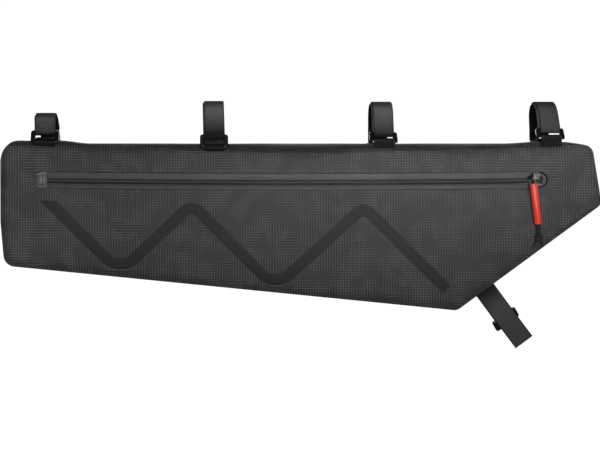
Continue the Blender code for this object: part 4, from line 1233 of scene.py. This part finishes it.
brushed, tree, shader = finish_named("brushed_strap_cloth", STRAP_GREY, 0.9,
                                     {"Specular IOR Level": 0.2})
here = node(tree, "TexCoord").outputs["Object"]
nap = clouds(tree, here, 1500.0, 3.0)
cloud = clouds(tree, here, 90.0, 3.0)
mixed = worked(tree, "MULTIPLY", nap, cloud)
mixed = ranged(tree, mixed, 0.12, 0.45)
grey = blended(tree, mixed, STRAP_GREY, STRAP_LIGHT)
across = painted(tree, "across")
across = worked(tree, "ABSOLUTE", across)
# Painted shade: the strap darkens towards both rounded edges.
edge_shade = ranged(tree, across, 0.84, 0.97, 0.0, 0.55, soft=True)
shade = painted(tree, "shade")
edge_shaded = blended(tree, edge_shade, grey, STRAP_BLACK)
coloured(tree, shader, blended(tree, shade, STRAP_BLACK, edge_shaded))
raised(tree, shader, mixed, 0.00012)

for number, x, top, foot, head, loop_top, tab_start, lean, painted_lightness in LOOPS:
    base_z = top + TOUCH_GAP * 2 + PATCH_THICKNESS + STRAP_THICKNESS / 2
    crest = loop_top - STRAP_THICKNESS * 1.5 - TOUCH_GAP
    middle, rise = (crest - LOOP_LOW) / 2, (crest + LOOP_LOW) / 2
    layer = STRAP_THICKNESS + TOUCH_GAP

    def loop_point(angle, extra):
        """Point of the loop round the tube, at an angle from the far side."""
        turn = math.radians(angle)
        return Vector(((STRAP_REACH + extra) * math.cos(turn),
                       middle + (rise + extra) * math.sin(turn)))

    base = [Vector((STRAP_REACH * 0.10, base_z)), Vector((STRAP_REACH * 0.55, base_z)),
            Vector((STRAP_REACH * 0.92, base_z + 0.0002)),
            Vector((STRAP_REACH * 1.12, base_z + 0.0030))]
    over = [loop_point(angle, 0.0) for angle in LOOP_OVER]
    back = [loop_point(angle, layer) for angle in LOOP_BACK]
    turn_radius = RING_BAR / 2 + TOUCH_GAP + STRAP_THICKNESS / 2
    inner = smooth_line(base + over, 5)
    outer = smooth_line(back, 5)
    around = wrap_between(Vector(head), turn_radius, over[-1], back[0])
    line = inner + around + outer
    turned = len(inner) + len(around) / 2

    def strap_shade(index, skin):
        """Nearly black inside the loop. Painted shade darkens it over its crest and down towards
        the ring, and the loop's painted lightness darkens the whole strap.
        """
        if index < turned:
            return 0.04 if skin > 0 else 0.85
        low = (line[index].y - RING_SHADE_LOW) / (RING_SHADE_TOP - RING_SHADE_LOW)
        high = (loop_top - line[index].y) / CREST_SHADE
        crest = 0.20 + 0.80 * smooth_step(high)
        return (0.06 + 0.94 * smooth_step(low)) * painted_lightness * crest

    def strap_drift(index):
        """Near the ring the inner layer lies a little nearer the rear than the outer one."""
        settled = smooth_step((index - turned) / 12 + 0.5)
        start = smooth_step(index / len(inner) * 1.4)
        height = (line[index].y - head[1]) / (loop_top - head[1])
        return STRAP_DRIFT * (1.0 - 2.0 * start * (1.0 - settled)) + lean * max(height, 0.0)

    strap = ribbon(line, across_bag(x), STRAP_WIDTH, STRAP_THICKNESS, strap_shade, strap_drift)
    dressed(strap, "loop_strap_" + number, brushed, "strap_cloth", "strap_" + number)


# Lower strap: the same cloth, held by a patch on the slanted edge. It hangs straight down
# in front of its tab and of the ring that it can be passed through.
SLANT = Matrix(((0.59262, 0.0, 0.80548, 0.16412), (0.0, 1.0, 0.0, 0.0),
                (-0.80548, 0.0, 0.59262, -0.14536), (0.0, 0.0, 0.0, 1.0)))
HANG_LENGTH = 0.0603
HANG_WIDTH = 0.0186
HANG_SET = 0.0078
HANG_HOLD = 0.0095
HANG_RING_REACH = 0.0365
RING_HEIGHT = 0.013
HANG_SHADE_LENGTH = 0.026
HANG_RING_TILT = 35.0

base = TOUCH_GAP * 2 + PATCH_THICKNESS + STRAP_THICKNESS / 2
turn = STRAP_THICKNESS * 1.5
hang_line = smooth_line([Vector((base, HANG_HOLD)), Vector((base, 0.0020)),
                         Vector((base, turn * 2 - HANG_SET))], 4)
hang_line += wrap(Vector((base + turn, turn - HANG_SET)), turn, 180.0, 270.0, 8)
hang_line = hang_line[:-1] + smooth_line(
    [hang_line[-1], Vector((HANG_LENGTH * 0.35, -HANG_SET)),
     Vector((HANG_LENGTH * 0.70, -HANG_SET - STRAP_THICKNESS * 0.2)),
     Vector((HANG_LENGTH, -HANG_SET - STRAP_THICKNESS * 1.3))], 14)


def hang_shade(index, skin):
    """Painted shade: nearly black at the root, lightest in the middle and a little darker towards
    the free end.
    """
    far = hang_line[index].x
    return 0.06 + (0.62 - 0.25 * far / HANG_LENGTH) * smooth_step(far / HANG_SHADE_LENGTH)


lower_strap = ribbon(hang_line, SLANT, HANG_WIDTH, STRAP_THICKNESS, hang_shade)
dressed(lower_strap, "lower_strap", brushed, "strap_cloth", "down_strap")

skin = TOUCH_GAP + TAB_THICKNESS / 2
over_bar = RING_BAR / 2 + skin
bar = Vector((HANG_RING_REACH - (RING_HEIGHT - RING_BAR) / 2,
              -HANG_SET + STRAP_THICKNESS / 2 + skin + over_bar))
tab_base = base + STRAP_THICKNESS / 2 + skin
bend = Vector((tab_base + turn, bar.y + over_bar + turn))
tail = HANG_LENGTH * 0.32
tab_line = smooth_line([Vector((tab_base, HANG_HOLD)), Vector((tab_base, bend.y + 0.0015))], 3)
tab_line += wrap(bend, turn, 180.0, 270.0, 6)
tab_line += [Vector((bar.x - tail * 0.45, bar.y + over_bar))]
tab_line += wrap(bar, over_bar, 90.0, -90.0, 12)
tab_line += [Vector((bar.x - tail * 0.45, bar.y - over_bar)),
             Vector((bar.x - tail, bar.y - over_bar + TAB_THICKNESS * 0.5))]
lower_tab = ribbon(tab_line, SLANT, TAB_WIDTH, TAB_THICKNESS, lambda index, skin: 0.0)
dressed(lower_tab, "lower_tab", webbing, "webbing", "down_tab")

lower_patch = node_copy("down_patch")
softened(lower_patch, 0.00035, 2, 40)
smooth(lower_patch, 40)
dressed(lower_patch, "lower_patch", webbing, "webbing", "down_patch")
lower_ring = node_copy("down_ring")
broad_sides(lower_ring, SLANT)
hinge = Matrix.Translation(SLANT @ Vector((bar.x, bar.y, 0.0)))
turned = Matrix.Rotation(math.radians(HANG_RING_TILT), 4, SLANT.col[2].xyz)
lower_ring.data.transform(hinge @ turned @ hinge.inverted())
softened(lower_ring, 0.0005, 3, 35)
smooth(lower_ring, 50)
dressed(lower_ring, "lower_ring", glossy_plastic, "black_plastic", "down_ring")


bpy.context.view_layer.update()
